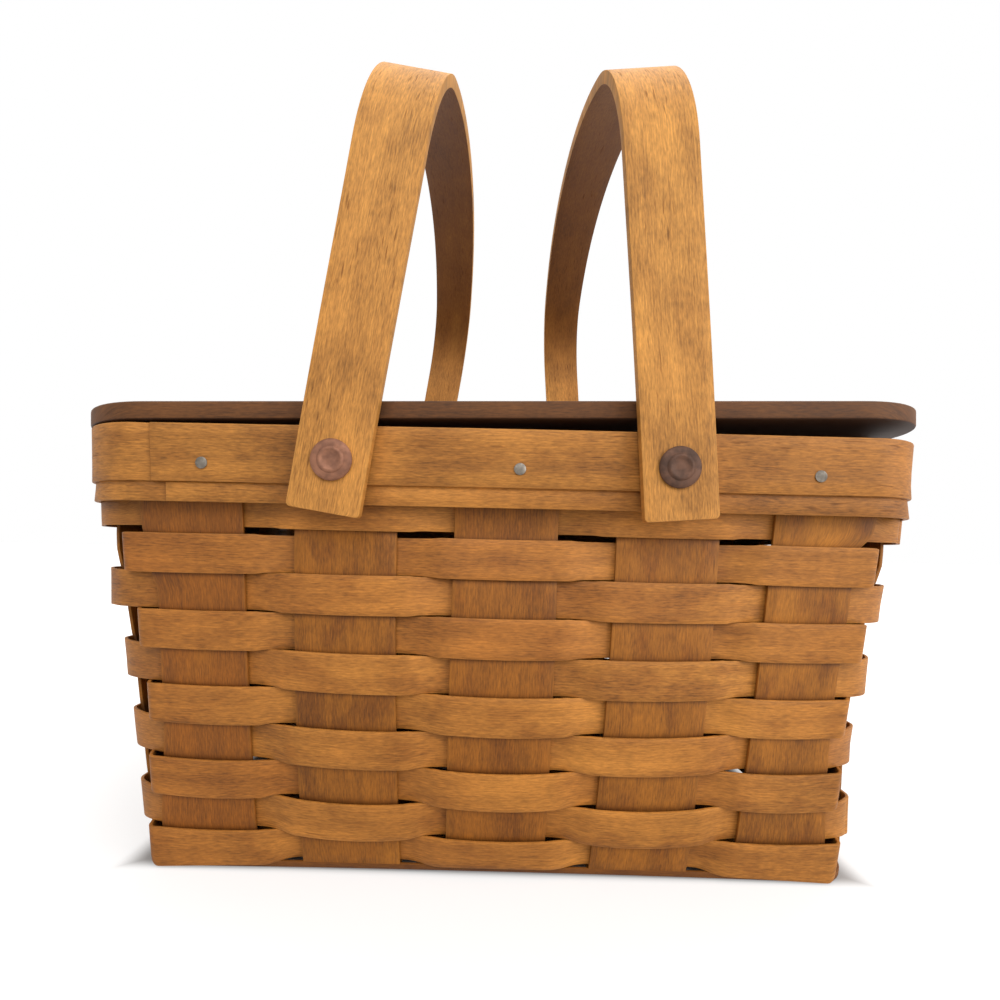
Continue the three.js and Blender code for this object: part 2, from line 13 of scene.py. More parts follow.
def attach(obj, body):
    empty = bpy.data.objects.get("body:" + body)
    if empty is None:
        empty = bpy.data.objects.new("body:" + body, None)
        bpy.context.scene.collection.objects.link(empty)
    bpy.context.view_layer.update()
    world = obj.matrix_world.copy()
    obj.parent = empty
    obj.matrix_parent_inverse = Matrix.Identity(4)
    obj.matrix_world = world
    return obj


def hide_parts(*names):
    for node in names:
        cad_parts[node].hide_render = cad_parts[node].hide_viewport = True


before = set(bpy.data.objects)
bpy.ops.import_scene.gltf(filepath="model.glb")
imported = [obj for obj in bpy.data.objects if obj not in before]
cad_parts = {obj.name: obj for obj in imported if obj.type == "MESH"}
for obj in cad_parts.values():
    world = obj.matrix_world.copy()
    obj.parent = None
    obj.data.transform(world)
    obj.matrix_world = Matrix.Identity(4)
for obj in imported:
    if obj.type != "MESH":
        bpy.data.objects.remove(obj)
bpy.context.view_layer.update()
MM = 0.001

# The woven wall, at the middle of the splints' thickness: a value at the base and at the rim
RIM_TOP = 183.0
HALF_WIDTH = (156.0, 169.0)
HALF_DEPTH = (115.0, 131.0)
CORNER_RADIUS = (10.0, 28.0)
BELLY = (9.0, 6.0)
RIM_BELLY = (2.0, 1.0)

# How far the corners stand out from the plain wall at each height, as on the photographed basket
FLARE_HEIGHTS = (0, 11, 26, 57, 87, 118, 134, 150, 153, 158, 168, 183)
FLARE_LEFT = (-5.0, -5.0, -4.4, -2.6, -1.0, 2.3, 4.8, 4.4, 0.3, -0.8, -1.8, -2.9)
FLARE_RIGHT = (-4.0, -4.2, -5.5, -7.1, -5.0, -1.5, 2.6, 2.4, -2.3, -4.0, -6.6, -7.4)

# Splints and weavers; pairs are for the long walls and the short walls
SPLINT_COUNT = (5, 4)
SPLINT_WIDTH = (41.0, 38.0)
SPLINT_PITCH = ((60.0, 62.0), (55.5, 55.5))
SPLINT_THICKNESS = 1.5
SPLINT_STEP = 2.2
# Tones of the front splints, darker at the left and lighter at the right: partly the wood's own tone, partly
# painted shade at the left.
FRONT_TONES_AND_SHADE = (0.0, 0.3, 0.2, 0.35, 0.4)
FRONT_LEAN = (-1.0, -1.0, 1.8, 5.2, 6.0)
TRIM_HEIGHTS = (0, 11, 26, 57, 87, 118, 126, 134, 140, 146, 158)
TRIM_LEFT = (0.0, 0.5, 1.3, 4.0, 4.6, 4.9, 2.5, 0.6, 0.4, 0.0, 0.0)
TRIM_RIGHT = (0.0, 2.5, 4.4, 7.2, 7.8, 7.0, 7.1, 7.2, 7.0, 1.6, 0.0)
SPLINT_TOP = 182.4
POST_PLAY = 0.5
FOLD_RADIUS = 2.2
FOLD_DEGREES = (0, 18, 36, 54, 72, 90)
FLAT_MARGIN = 8

# A splint stands out where it is free and is pressed in under a weaver, and has painted shade just beside
# one.
# Every strip is cupped a little, with eased edges and the same number of points across it.
SPLINT_FREE = 0.2
SPLINT_PRESSED = 0.4
COVER_FADE = 3.0
SHADE_BESIDE_FADE = 1.5
CUP = 0.05
THIN_EDGE = 0.3
ACROSS = 7
GAP = 0.3

# Woven rows, counted from 0 at the top. Their outer spans bow, sag and are a little wider.
WEAVER_THICKNESS = 1.3
WEAVER_OFFSET = SPLINT_THICKNESS / 2 + GAP + WEAVER_THICKNESS / 2
WEAVER_OUTSIDE = WEAVER_OFFSET + WEAVER_THICKNESS / 2
OUTSIDE_FROM = 0.6
ROWS = 10
ROW_PITCH = 15.35
ROW_HEIGHT = 15.05
LOWEST_ROW = 3.2
TOP_ROW_RISE = 2.6
TOP_ROW = LOWEST_ROW + (ROWS - 1) * ROW_PITCH + TOP_ROW_RISE
ROW_SAG = (0.2, 0.3, 0.4, 0.6, 0.8, 1.1, 1.3, 2.0, 2.6, 1.8)
SIDE_SAG = (1.0, 0.6, 0.0, 0.6)
TOP_SAG = 0.8
ROW_SPREAD = 0.4
SPAN_BOW = 0.3
ARC_SHARE = 0.7

# The top row is lower at the corners, and the bottom stands on its corners
TOP_ROW_DROP = 4.8
ROW_CEILING = 150.0
LOWEST_EDGE = 0.6
TUCKED_RISE = 0.8
FOOT_LIFT = 1.6
FOOT_SHOWS = 2.1

# How each row turns a corner: how far it runs on, and how far the even rows draw in at the left and right
TURN_REACH = (8.0, 7.5, 8.0, 7.2, 8.0, 4.6, 8.0, 4.0, 8.0, 4.0)
KNEE_RADIUS = 2.5
TURN_STEPS = 9
CORNER_STEPS = 18
BETWEEN_STEPS = 9
HALF_SPAN = 5
MIDDLE_HEIGHT = 90.0
DRAWN_LEFT = {0: 0.0, 2: 0.1, 4: 0.7, 6: 1.0, 8: 1.0}
DRAWN_RIGHT = {0: 0.0, 2: 0.5, 4: 0.4, 6: 1.0, 8: 0.9}

# On the back wall the rows close up a little, and the two highest meet
BACK_CLOSING = 0.1
BACK_MEETING = 1.3

# Rim bands
BAND_SLACK = 0.5
UNDER_BAND = 2.2
OUTER_BAND = 2.75
INNER_BAND = 2.4
UNDER_BAND_IN = WEAVER_OUTSIDE + BAND_SLACK
OUTER_BAND_IN = UNDER_BAND_IN + UNDER_BAND + GAP
OUTER_BAND_OUT = OUTER_BAND_IN + OUTER_BAND
INNER_FACE = -UNDER_BAND_IN - INNER_BAND
BAND_HEIGHT = 22.1
UNDER_BAND_HEIGHT = 29.7
BAND_LAP = 34.0
BAND_START = -136.0
UNDER_BAND_START = -131.0
UNDER_BAND_LIP = 1.8

# A band's lapped ends: the length over which they thin, and their share of the thickness and shift outwards
LAP_FADE = 4
LAP_CLEAR = 2
LAP_TOP = (0.5, 0.25)
LAP_BELOW = (0.42, -0.29)

# Handles and their rivets
PIVOT_X = 64.0
PIVOT_Z = 169.0
HANDLE_WIDTH = 27.5
HANDLE_THICKNESS = 4.5
HANDLE_HEIGHT = 197.0
HANDLE_LEG = 118.0
HANDLE_SHOULDER = 57.0
HANDLE_TAIL = 19.5
HANDLE_ROUND = 1.6
FAR_FROM_END = 99
LEANS = {"left": 9.0, "right": -4.5}

# Lid
LID_LENGTH = 356.0
LID_DEPTH = 277.0
LID_THICKNESS = 7.0
LID_LEFT = 1.1 - LID_LENGTH / 2
PLANK_TRIM = (0.9, 5.4)
PLANK_CORNER = 37.0
CLEAT_THICKNESS = 7.0
CLEAT_WIDTH = 18.0
CLEAT_LENGTH = 196.0
CLEAT_OUTSIDE = 164.2
CLEAT_NAIL_Y = 65.0
LID_TILT = math.atan((CLEAT_THICKNESS + GAP) / (HALF_WIDTH[1] - UNDER_BAND_IN - INNER_BAND - LID_LEFT))

# Nails: wall and splint of each, and the places of the front ones along their wall
NAIL_Z = 168.0
NAILS = ((0, 0), (0, 2), (0, 4), (1, 1), (1, 2), (2, 0), (2, 2), (2, 4), (3, 1), (3, 2))
FRONT_NAILS = {0: -116.0, 2: 5.8, 4: 120.3}

# The walls in order are front, right, back and left
ALONG = np.array([[1, 0], [0, 1], [-1, 0], [0, -1]], float)
OUTWARD = np.array([[0, -1], [1, 0], [0, 1], [-1, 0]], float)
POSTS = [(side, index) for side in range(4) for index in range(SPLINT_COUNT[side % 2])]


def between(low, high, share):
    return low + (high - low) * share


def eased(share):
    return share * share * (3 - 2 * share)


def at_height(pair, z):
    return between(pair[0], pair[1], z / RIM_TOP)


def straight_end(side, z):
    half = HALF_DEPTH if side % 2 else HALF_WIDTH
    return at_height(half, z) - at_height(CORNER_RADIUS, z)


def flare_at(side, s, z, turn, share):
    """How far a corner stands out. It is full at the ends of the short walls and fades along both walls."""
    left = (s < 0, np.zeros_like(s, bool), s > 0, np.ones_like(s, bool))[side]
    size = np.where(left, np.interp(z, FLARE_HEIGHTS, FLARE_LEFT), np.interp(z, FLARE_HEIGHTS, FLARE_RIGHT))
    corner = turn / (math.pi / 2)
    if side % 2:
        return size * np.where(turn > 0, eased(1 - corner), share**2)
    return size * eased(corner)


def wall(side, s, z, offset, flare=0.0, tight=0.0, ceiling=RIM_TOP):
    """Points at s along one side's wall, moved out by offset. Past the straight stretch they turn the corner.

    A tight piece doesn't follow the corners where they stand out. Above the ceiling they keep its flare."""
    s, z, offset = np.broadcast_arrays(np.asarray(s, float), np.asarray(z, float), np.asarray(offset, float))
    short = side % 2
    end = straight_end(side, z)
    radius = at_height(CORNER_RADIUS, z)
    reach = at_height(HALF_WIDTH if short else HALF_DEPTH, z)
    share = np.clip(np.abs(s) / end, 0, 1)
    low = np.clip(z / TOP_ROW, 0, 1)
    belly = (BELLY[short] * 4 * low * (1 - low) + RIM_BELLY[short] * z / RIM_TOP) * (1 - share**2) ** 2
    turn = np.arcsin(np.clip((np.abs(s) - end) / radius, 0, 1))
    spread = flare_at(side, s, np.minimum(z, ceiling), turn, share)
    offset = offset + flare * between(spread, np.minimum(spread, 0), tight)
    along = np.where(turn > 0, np.sign(s) * (end + (radius + offset) * np.sin(turn)), s)
    out = reach + belly + offset - np.where(turn > 0, (radius + offset) * (1 - np.cos(turn)), 0)
    xy = along[..., None] * ALONG[side] + out[..., None] * OUTWARD[side]
    return np.concatenate([xy, z[..., None]], axis=-1)


def post_centre(side, index, z):
    count = SPLINT_COUNT[side % 2]
    lean = FRONT_LEAN[index] * z / RIM_TOP if side == 0 else 0
    return (index - (count - 1) / 2) * at_height(SPLINT_PITCH[side % 2], z) + lean


def edge_trim(side, index, way, z):
    """The front wall's end splints are narrower towards the corners."""
    if side == 0 and (index, way) == (0, -1):
        return np.interp(z, TRIM_HEIGHTS, TRIM_LEFT)
    if side == 0 and (index, way) == (SPLINT_COUNT[0] - 1, 1):
        return np.interp(z, TRIM_HEIGHTS, TRIM_RIGHT)
    return 0.0


def post_edge(side, index, way):
    """The place of a splint's edge, with the play that a weaver has beside it."""
    half = SPLINT_WIDTH[side % 2] / 2 + POST_PLAY
    return lambda z: post_centre(side, index, z) + way * (half - edge_trim(side, index, way, np.mean(z)))


def corner_place(side, edge, distance):
    """s at a distance past an edge, along the wall and on round the corner."""
    def place(z):
        end = straight_end(side, z)
        radius = at_height(CORNER_RADIUS, z)
        start = np.abs(edge(z))
        straight = np.maximum(0, end - start)
        begun = np.arcsin(np.clip((start - end) / radius, 0, 1))
        turn = begun + np.maximum(0, distance - straight) / radius
        return np.where(distance < straight, start + distance, end + radius * np.sin(np.minimum(turn, 1.5)))
    return place


def part_way(low, high, share):
    return lambda z: between(low(z), high(z), share)


def corner_length(side, edge, z):
    end, radius, start = straight_end(side, z), at_height(CORNER_RADIUS, z), abs(float(edge(z)))
    return max(0.0, end - start) - radius * math.asin(min(1.0, max(0.0, (start - end) / radius)))


# Laying strips down

def deselect_all():
    bpy.ops.object.select_all(action="DESELECT")


def pick(piece):
    deselect_all()
    piece.select_set(True)
    bpy.context.view_layer.objects.active = piece


def new_piece(name):
    """The primitive that was just added, under its name."""
    piece = bpy.context.object
    piece.name = name
    piece.data.name = name
    return piece


def ease_edges(piece, width, segments):
    bevel = piece.modifiers.new("eased edges", "BEVEL")
    bevel.width = width * MM
    bevel.segments = segments
    bevel.limit_method = "ANGLE"
    bevel.angle_limit = math.radians(50)


def apply_modifiers(piece):
    pick(piece)
    for modifier in list(piece.modifiers):
        bpy.ops.object.modifier_apply(modifier=modifier.name)


def smooth(piece, angle=35):
    pick(piece)
    bpy.ops.object.shade_smooth_by_angle(angle=math.radians(angle))


def hand_over(piece, finish, body, nodes):
    """Gives a finished piece its material and its body, and hides the CAD nodes it stands for."""
    piece.data.materials.clear()
    piece.data.materials.append(finish)
    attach(piece, body)
    if nodes:
        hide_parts(*nodes)


def lay_strip(name, points, thickness, edge, tone_and_shade, shares=None, seed=0.0, segments=2):
    """A flat strip: a grid laid on its points, thickened and with its edges eased.

    points is (stations, across, 3). The fifth argument holds the tone and the painted shade for each of them,
    and shares how much of the thickness each station has. The seed shifts the grain."""
    count, across = points.shape[:2]
    deselect_all()
    bpy.ops.mesh.primitive_grid_add(x_subdivisions=count - 1, y_subdivisions=across - 1, size=1)
    strip = new_piece(name)
    mesh = strip.data
    grid = np.zeros(len(mesh.vertices) * 3)
    mesh.vertices.foreach_get("co", grid)
    grid = grid.reshape(-1, 3)
    i = np.rint((grid[:, 0] + 0.5) * (count - 1)).astype(int)
    j = np.rint((grid[:, 1] + 0.5) * (across - 1)).astype(int)
    mesh.vertices.foreach_set("co", (points[i, j] * MM).ravel())

    middle = points[:, across // 2]
    run = np.concatenate([[0], np.cumsum(np.linalg.norm(np.diff(middle, axis=0), axis=1))])
    girth = np.concatenate([[0], np.cumsum(np.linalg.norm(np.diff(points[count // 2], axis=0), axis=1))])
    corner = np.zeros(len(mesh.loops), int)
    mesh.loops.foreach_get("vertex_index", corner)
    uv = np.stack([run[i[corner]] * MM + seed * 3.7, girth[j[corner]] * MM + seed * 1.3], axis=1)
    mesh.uv_layers[0].data.foreach_set("uv", uv.ravel())

    # The colour attribute holds the tone, the painted shade and the place across the strip.
    colour = np.zeros((len(mesh.vertices), 4))
    colour[:, :2] = tone_and_shade[i, j]
    colour[:, 2] = np.clip(j / (across - 1), 0, 1)
    colour[:, 3] = 1
    layer = mesh.color_attributes.new("tone_and_shade", "FLOAT_COLOR", "POINT")
    layer.data.foreach_set("color", colour.ravel())

    if shares is not None:
        group = strip.vertex_groups.new(name="thickness")
        for index, share in enumerate(shares[i]):
            group.add([index], float(share), "REPLACE")
    solidify = strip.modifiers.new("thickness", "SOLIDIFY")
    solidify.thickness = thickness * MM
    solidify.offset = 0
    if shares is not None:
        solidify.vertex_group = "thickness"
    ease_edges(strip, edge, segments)
    apply_modifiers(strip)
    smooth(strip)
    return strip


# Finishes

def new_group(name, inputs, outputs):
    group = bpy.data.node_groups.new(name, "ShaderNodeTree")
    for label, kind, value in inputs:
        socket = group.interface.new_socket(label, in_out="INPUT", socket_type=kind)
        if value is not None:
            socket.default_value = value
    for label, kind in outputs:
        group.interface.new_socket(label, in_out="OUTPUT", socket_type=kind)
    return group


def settle(node, values):
    for label, value in values.items():
        node.inputs[label].default_value = value


class Bench:
    """Adds and joins the nodes of one tree."""

    def __init__(self, tree):
        self.tree = tree

    def add(self, kind, **settings):
        node = self.tree.nodes.new(kind)
        for key, value in settings.items():
            setattr(node, key, value)
        return node

    def join(self, source, target):
        self.tree.links.new(source, target)

    def stretch(self, vector, scale):
        node = self.add("ShaderNodeMapping")
        self.join(vector, node.inputs["Vector"])
        settle(node, {"Scale": scale})
        return node.outputs["Vector"]

    def noise(self, vector, scale, detail=2.0, rough=0.5):
        node = self.add("ShaderNodeTexNoise")
        self.join(self.stretch(vector, scale), node.inputs["Vector"])
        settle(node, {"Scale": 1, "Detail": detail, "Roughness": rough})
        return node.outputs["Fac"]

    def ramp(self, value, low, high, to_low=0.0, to_high=1.0):
        node = self.add("ShaderNodeMapRange", interpolation_type="SMOOTHSTEP")
        self.join(value, node.inputs["Value"])
        settle(node, {"From Min": low, "From Max": high, "To Min": to_low, "To Max": to_high})
        return node.outputs["Result"]

    def math(self, operation, first, second):
        node = self.add("ShaderNodeMath", operation=operation)
        for socket, value in zip(node.inputs, (first, second)):
            if isinstance(value, (int, float)):
                socket.default_value = value
            else:
                self.join(value, socket)
        return node.outputs[0]

    def mix(self, share, first, second):
        node = self.add("ShaderNodeMix", data_type="RGBA")
        for socket, value in ((node.inputs[0], share), (node.inputs[6], first), (node.inputs[7], second)):
            if isinstance(value, (int, float, tuple)):
                socket.default_value = value
            else:
                self.join(value, socket)
        return node.outputs[2]

    def bump(self, height, strength, distance, shader):
        node = self.add("ShaderNodeBump")
        settle(node, {"Strength": strength, "Distance": distance * MM})
        self.join(height, node.inputs["Height"])
        self.join(node.outputs["Normal"], shader.inputs["Normal"])

    def seen_directly(self):
        path = self.add("ShaderNodeLightPath")
        return self.math("MAXIMUM", path.outputs["Is Camera Ray"], path.outputs["Is Glossy Ray"])


def new_material(name):
    material = bpy.data.materials.new(name)
    material.use_nodes = True
    return material, Bench(material.node_tree), material.node_tree.nodes["Principled BSDF"]


def linear(colour):
    """A colour as it looks on screen, 0 to 255, as the renderer counts it."""
    shares = [part / 255 for part in colour]
    return (*(part / 12.92 if part <= 0.04045 else ((part + 0.055) / 1.055) ** 2.4 for part in shares), 1.0)


def grain_and_painted_light_group():
    """Fibres, streaks, blotches and pores of a stained splint, along the strip's own length, with painted
    shade from the second channel and a painted highlight along the strip's long edges.
    """
    group = new_group("wood grain and painted light", [
        ("Vector", "NodeSocketVector", None),
        ("Tone and shade", "NodeSocketColor", (0.5, 0, 0.5, 1)),
        ("Golden", "NodeSocketColor", (0.5, 0.2, 0.05, 1)),
        ("Reddish", "NodeSocketColor", (0.3, 0.1, 0.02, 1)),
        ("Dark", "NodeSocketColor", (0.1, 0.03, 0.01, 1)),
        ("Streaks", "NodeSocketFloat", 0.5),
        ("Pores", "NodeSocketFloat", 0.5),
        ("Blotches", "NodeSocketFloat", 0.5),
    ], [("Color", "NodeSocketColor"), ("Height", "NodeSocketFloat"), ("Polish", "NodeSocketFloat")])
    bench = Bench(group)
    given = bench.add("NodeGroupInput").outputs
    parts = bench.add("ShaderNodeSeparateColor")
    bench.join(given["Tone and shade"], parts.inputs[0])
    tone, painted_shade, across = parts.outputs
    wavy = bench.noise(given["Vector"], (7, 12, 1), 1)
    bent = bench.add("ShaderNodeVectorMath", operation="MULTIPLY_ADD")
    bench.join(wavy, bent.inputs[0])
    bent.inputs[1].default_value = (0, 0.004, 0)
    bench.join(given["Vector"], bent.inputs[2])
    vector = bent.outputs[0]
    fibres = bench.noise(vector, (120, 1900, 1), 2, 0.6)
    streaks = bench.noise(vector, (9, 240, 1), 3, 0.6)
    blotches = bench.noise(vector, (34, 62, 1), 3, 0.62)
    clouds = bench.noise(vector, (9, 24, 1), 2, 0.5)
    flecks = bench.noise(vector, (300, 1500, 1), 2, 0.6)
    pores = bench.noise(vector, (110, 1000, 1), 1, 0.5)
    gate = bench.noise(vector, (22, 70, 1), 2)

    light = bench.mix(tone, given["Reddish"], given["Golden"])
    stained = bench.math("MULTIPLY", bench.ramp(blotches, 0.46, 0.68), given["Blotches"])
    colour = bench.mix(stained, light, given["Reddish"])
    lines = bench.math("MULTIPLY", bench.ramp(streaks, 0.62, 0.36), given["Streaks"])
    colour = bench.mix(bench.math("MULTIPLY", lines, 0.4), colour, given["Dark"])
    pale = bench.ramp(clouds, 0.55, 0.7, 0.0, 0.3)
    colour = bench.mix(pale, colour, given["Golden"])
    dashes = bench.math("MULTIPLY", bench.ramp(pores, 0.6, 0.72), bench.ramp(gate, 0.42, 0.62, 0.12, 1))
    dashes = bench.math("MULTIPLY", dashes, given["Pores"])
    colour = bench.mix(bench.math("MULTIPLY", dashes, 0.6), colour, given["Dark"])
    even = 1.0
    for figure, weight in ((flecks, 1.2), (fibres, 0.9), (blotches, -1.1), (clouds, 0.75)):
        even = bench.math("ADD", even, bench.math("MULTIPLY", bench.math("SUBTRACT", figure, 0.5), weight))
    brightness = bench.add("ShaderNodeVectorMath", operation="SCALE")
    bench.join(colour, brightness.inputs[0])
    bench.join(even, brightness.inputs["Scale"])
    colour = brightness.outputs[0]
    # Painted highlight: both long edges of a strip are lightened towards Golden.
    edge = bench.math("ABSOLUTE", bench.math("SUBTRACT", across, 0.5), 0)
    colour = bench.mix(bench.ramp(edge, 0.46, 0.5, 0, 0.25), colour, given["Golden"])
    # Painted shade: the second channel of the colour attribute darkens the wood towards Dark.
    shade_share = bench.ramp(painted_shade, 0.0, 1.0, 0.0, 0.9)
    colour = bench.mix(shade_share, colour, given["Dark"])
    height = bench.math("SUBTRACT", bench.math("MULTIPLY", fibres, 0.5), bench.math("MULTIPLY", dashes, 0.8))
    height = bench.math("ADD", height, bench.math("MULTIPLY", streaks, 0.5))
    polish = bench.math("ADD", bench.math("MULTIPLY", fibres, 0.12), bench.math("MULTIPLY", dashes, 0.15))
    result = bench.add("NodeGroupOutput").inputs
    bench.join(colour, result["Color"])
    bench.join(height, result["Height"])
    bench.join(polish, result["Polish"])
    return group


GRAIN_AND_PAINTED_LIGHT = grain_and_painted_light_group()


def wood(name, golden, reddish, dark, streaks=0.5, pores=0.5, blotches=0.4, gloss=0.52):
    """A stained and varnished wood, with painted shade and a painted highlight along a strip's edges. Its
    grain runs along the strip's own length.
    """
    material, bench, shader = new_material(name)
    vector = bench.add("ShaderNodeUVMap").outputs["UV"]
    tone_and_shade = bench.add("ShaderNodeAttribute", attribute_name="tone_and_shade").outputs["Color"]
    grain = bench.add("ShaderNodeGroup", node_tree=GRAIN_AND_PAINTED_LIGHT)
    bench.join(vector, grain.inputs["Vector"])
    bench.join(tone_and_shade, grain.inputs["Tone and shade"])
    settle(grain, {"Golden": linear(golden), "Reddish": linear(reddish), "Dark": linear(dark),
                   "Streaks": streaks, "Pores": pores, "Blotches": blotches})
    bench.join(grain.outputs["Color"], shader.inputs["Base Color"])
    rough = bench.math("ADD", grain.outputs["Polish"], gloss)
    bench.join(rough, shader.inputs["Roughness"])
    bench.bump(grain.outputs["Height"], 0.5, 0.1, shader)
    settle(shader, {"Specular IOR Level": 0.3})
    return material


weaver_finish = wood("weaver wood", (186, 125, 54), (154, 91, 34), (84, 42, 14), blotches=0.5)
splint_finish = wood("splint wood", (170, 110, 36), (136, 78, 22), (70, 34, 8), blotches=0.8)
band_finish = wood("band wood", (190, 130, 58), (156, 94, 36), (84, 42, 14), pores=0.8)
handle_finish = wood("handle wood", (202, 143, 68), (180, 119, 53), (96, 50, 20),
                     streaks=0.4, pores=1.0, gloss=0.55)
lid_finish = wood("lid wood", (108, 68, 32), (86, 50, 22), (44, 24, 10), streaks=0.6, pores=0.5, gloss=0.6)


def metal_finish(name, colour, tarnish, rough, metallic):
    """A dull metal: clouds of tarnish, fine scratches, and rougher where it is tarnished."""
    material, bench, shader = new_material(name)
    place = bench.add("ShaderNodeTexCoord").outputs["Object"]
    clouds = bench.noise(place, (220, 220, 220), 3, 0.6)
    scratches = bench.noise(place, (2500, 900, 700), 2)
    share = bench.ramp(clouds, 0.3, 0.7)
    bench.join(bench.mix(share, linear(colour), linear(tarnish)), shader.inputs["Base Color"])
    bench.join(bench.ramp(clouds, 0.3, 0.7, rough, rough + 0.2), shader.inputs["Roughness"])
    bench.join(bench.ramp(clouds, 0.35, 0.65, metallic, metallic * 0.6), shader.inputs["Metallic"])
    bench.bump(bench.math("ADD", clouds, bench.math("MULTIPLY", scratches, 0.3)), 0.35, 0.1, shader)
    return material


bright_copper = metal_finish("rivet copper", (146, 98, 72), (112, 72, 52), 0.5, 0.4)
brown_copper = metal_finish("brown rivet copper", (96, 62, 42), (66, 42, 28), 0.55, 0.3)
nail_steel = metal_finish("nail steel", (138, 130, 120), (98, 90, 80), 0.45, 0.8)


# Splints: from the rim down a wall, under the bottom and up the opposite wall

SPLINT_BOTTOM = 2 * SPLINT_THICKNESS + GAP
LONG_LEVEL = SPLINT_BOTTOM - SPLINT_THICKNESS / 2
UNDER_LEVEL = SPLINT_THICKNESS / 2
OVER_LEVEL = LONG_LEVEL + SPLINT_THICKNESS + GAP
FOLD_HEIGHT = LONG_LEVEL + FOLD_RADIUS
ROW_BASES = [TOP_ROW] + [LOWEST_ROW + (ROWS - 1 - row) * ROW_PITCH for row in range(1, ROWS)]
RIM_WEAVER_BASE = TOP_ROW + ROW_HEIGHT + GAP
RIM_WEAVER_TOP = 182.2


def covered(side, index, z):
    """How far weavers cover a splint's outer face at height z, and how much painted shade it gets beside
    them.
    """
    post = POSTS.index((side, index))
    cover, shade_beside = np.zeros_like(z), np.zeros_like(z)
    for base in ROW_BASES[1 - post % 2::2]:
        middle, half = base + ROW_HEIGHT / 2, ROW_HEIGHT / 2 + ROW_SPREAD
        distance = np.abs(z - middle) - half
        cover = np.maximum(cover, np.clip(0.5 - distance / COVER_FADE, 0, 1))
        shade_beside = np.maximum(shade_beside, np.clip(1 - distance / SHADE_BESIDE_FADE, 0, 1))
    return cover, shade_beside


def splint(side, index, name, node, bottom, seed):
    """One splint, from the rim down its wall, along the bottom's stations and up the opposite wall."""
    rows, tones_and_shades = [], []
    width = SPLINT_WIDTH[side % 2]
    spread = np.linspace(-width / 2, width / 2, ACROSS)
    share = 2 * spread / width
    # Painted shade: the splint is darker along its long edges.
    edge_shade = 0.2 * np.clip(np.abs(share) - 0.86, 0, 1) / 0.14
    chance = random.Random(seed)
    lean = chance.uniform(-0.25, 0.25)
    tone = FRONT_TONES_AND_SHADE[index] if side == 0 else 0.42 + 0.2 * chance.random()

    def add(points, point_tone, shade):
        rows.append(points)
        tones_and_shades.append(np.stack([np.full(ACROSS, point_tone), np.zeros(ACROSS) + shade], axis=1))

    def wall_row(at_side, at_index, mirror, z):
        cover, shade_beside = covered(at_side, at_index, np.array(z))
        trims = [edge_trim(at_side, at_index, way, z) for way in (-1, 1)]
        here = np.linspace(trims[0] - width / 2, width / 2 - trims[1], ACROSS)
        s = mirror * (mirror * post_centre(at_side, at_index, z) + here)
        offset = SPLINT_FREE - SPLINT_PRESSED * cover + CUP * (1 - share**2)
        points = wall(at_side, s, np.full(ACROSS, z), offset + lean * 0.2, 1.0)
        # Painted shade beside the weavers and along the splint's edges.
        add(points, tone + 0.10 * (z / RIM_TOP), np.clip(shade_beside, 0, 1) * 0.6 + edge_shade)

    def fold_row(at_side, at_index, mirror, degrees):
        angle = np.radians(degrees)
        s = mirror * (mirror * post_centre(at_side, at_index, FOLD_HEIGHT) + spread)
        foot = wall(at_side, s, np.full(ACROSS, FOLD_HEIGHT), 0.0, 1.0)
        foot[:, :2] += OUTWARD[at_side] * FOLD_RADIUS * (math.cos(angle) - 1)
        foot[:, 2] -= FOLD_RADIUS * math.sin(angle)
        # Painted shade at the fold at the foot of the wall.
        add(foot, tone, 0.25)

    levels = np.arange(SPLINT_TOP, FOLD_HEIGHT, -SPLINT_STEP)
    for z in levels:
        wall_row(side, index, 1, z)
    for degrees in FOLD_DEGREES:
        fold_row(side, index, 1, degrees)
    for along, level in bottom:
        s = post_centre(side, index, 0) + spread
        xy = s[:, None] * ALONG[side] - along * OUTWARD[side]
        # Painted shade under the bottom.
        add(np.concatenate([xy, np.full((ACROSS, 1), level)], axis=1), tone, 0.1)
    opposite = (side + 2) % 4, SPLINT_COUNT[side % 2] - 1 - index
    for degrees in FOLD_DEGREES[::-1]:
        fold_row(*opposite, -1, degrees)
    for z in levels[::-1]:
        wall_row(*opposite, -1, z)
    piece = lay_strip(name, np.array(rows), SPLINT_THICKNESS, THIN_EDGE, np.array(tones_and_shades), seed=seed)
    hand_over(piece, splint_finish, "basket", [node])


def flat_bottom():
    """Stations under the bottom, as place along it and level. The splints of the long walls lie flat."""
    reach = HALF_DEPTH[0] - FLAT_MARGIN
    return [(along, LONG_LEVEL) for along in np.linspace(-reach, reach, 30)]


def woven_bottom(index):
    """The splints of the short walls pass over and under the others."""
    knots = []
    margin = SPLINT_WIDTH[0] / 2 + 1
    for post in range(SPLINT_COUNT[0]):
        level = OVER_LEVEL if (post + index) % 2 == 0 else UNDER_LEVEL
        centre = post_centre(0, post, 0)
        knots += [(centre - margin, level), (centre + margin, level)]
    stations = []
    reach = HALF_WIDTH[0] - FLAT_MARGIN
    ends = [(-reach, LONG_LEVEL)] + knots + [(reach, LONG_LEVEL)]
    for (from_along, from_level), (to_along, to_level) in zip(ends, ends[1:]):
        for share in np.linspace(0, 1, 7)[:-1]:
            along = between(from_along, to_along, share)
            stations.append((along, between(from_level, to_level, eased(share))))
    return stations + [ends[-1]]


for number in range(SPLINT_COUNT[0]):
    splint(0, number, f"wall_splint_{number + 1}", f"splint_front_back_{number + 1}",
           flat_bottom(), number + 1)
for number in range(SPLINT_COUNT[1]):
    splint(3, number, f"side_splint_{number + 1}", f"splint_side_{number + 1}",
           woven_bottom(SPLINT_COUNT[1] - 1 - number), number + 11)


# Weavers: hoops that pass outside one splint and inside the next

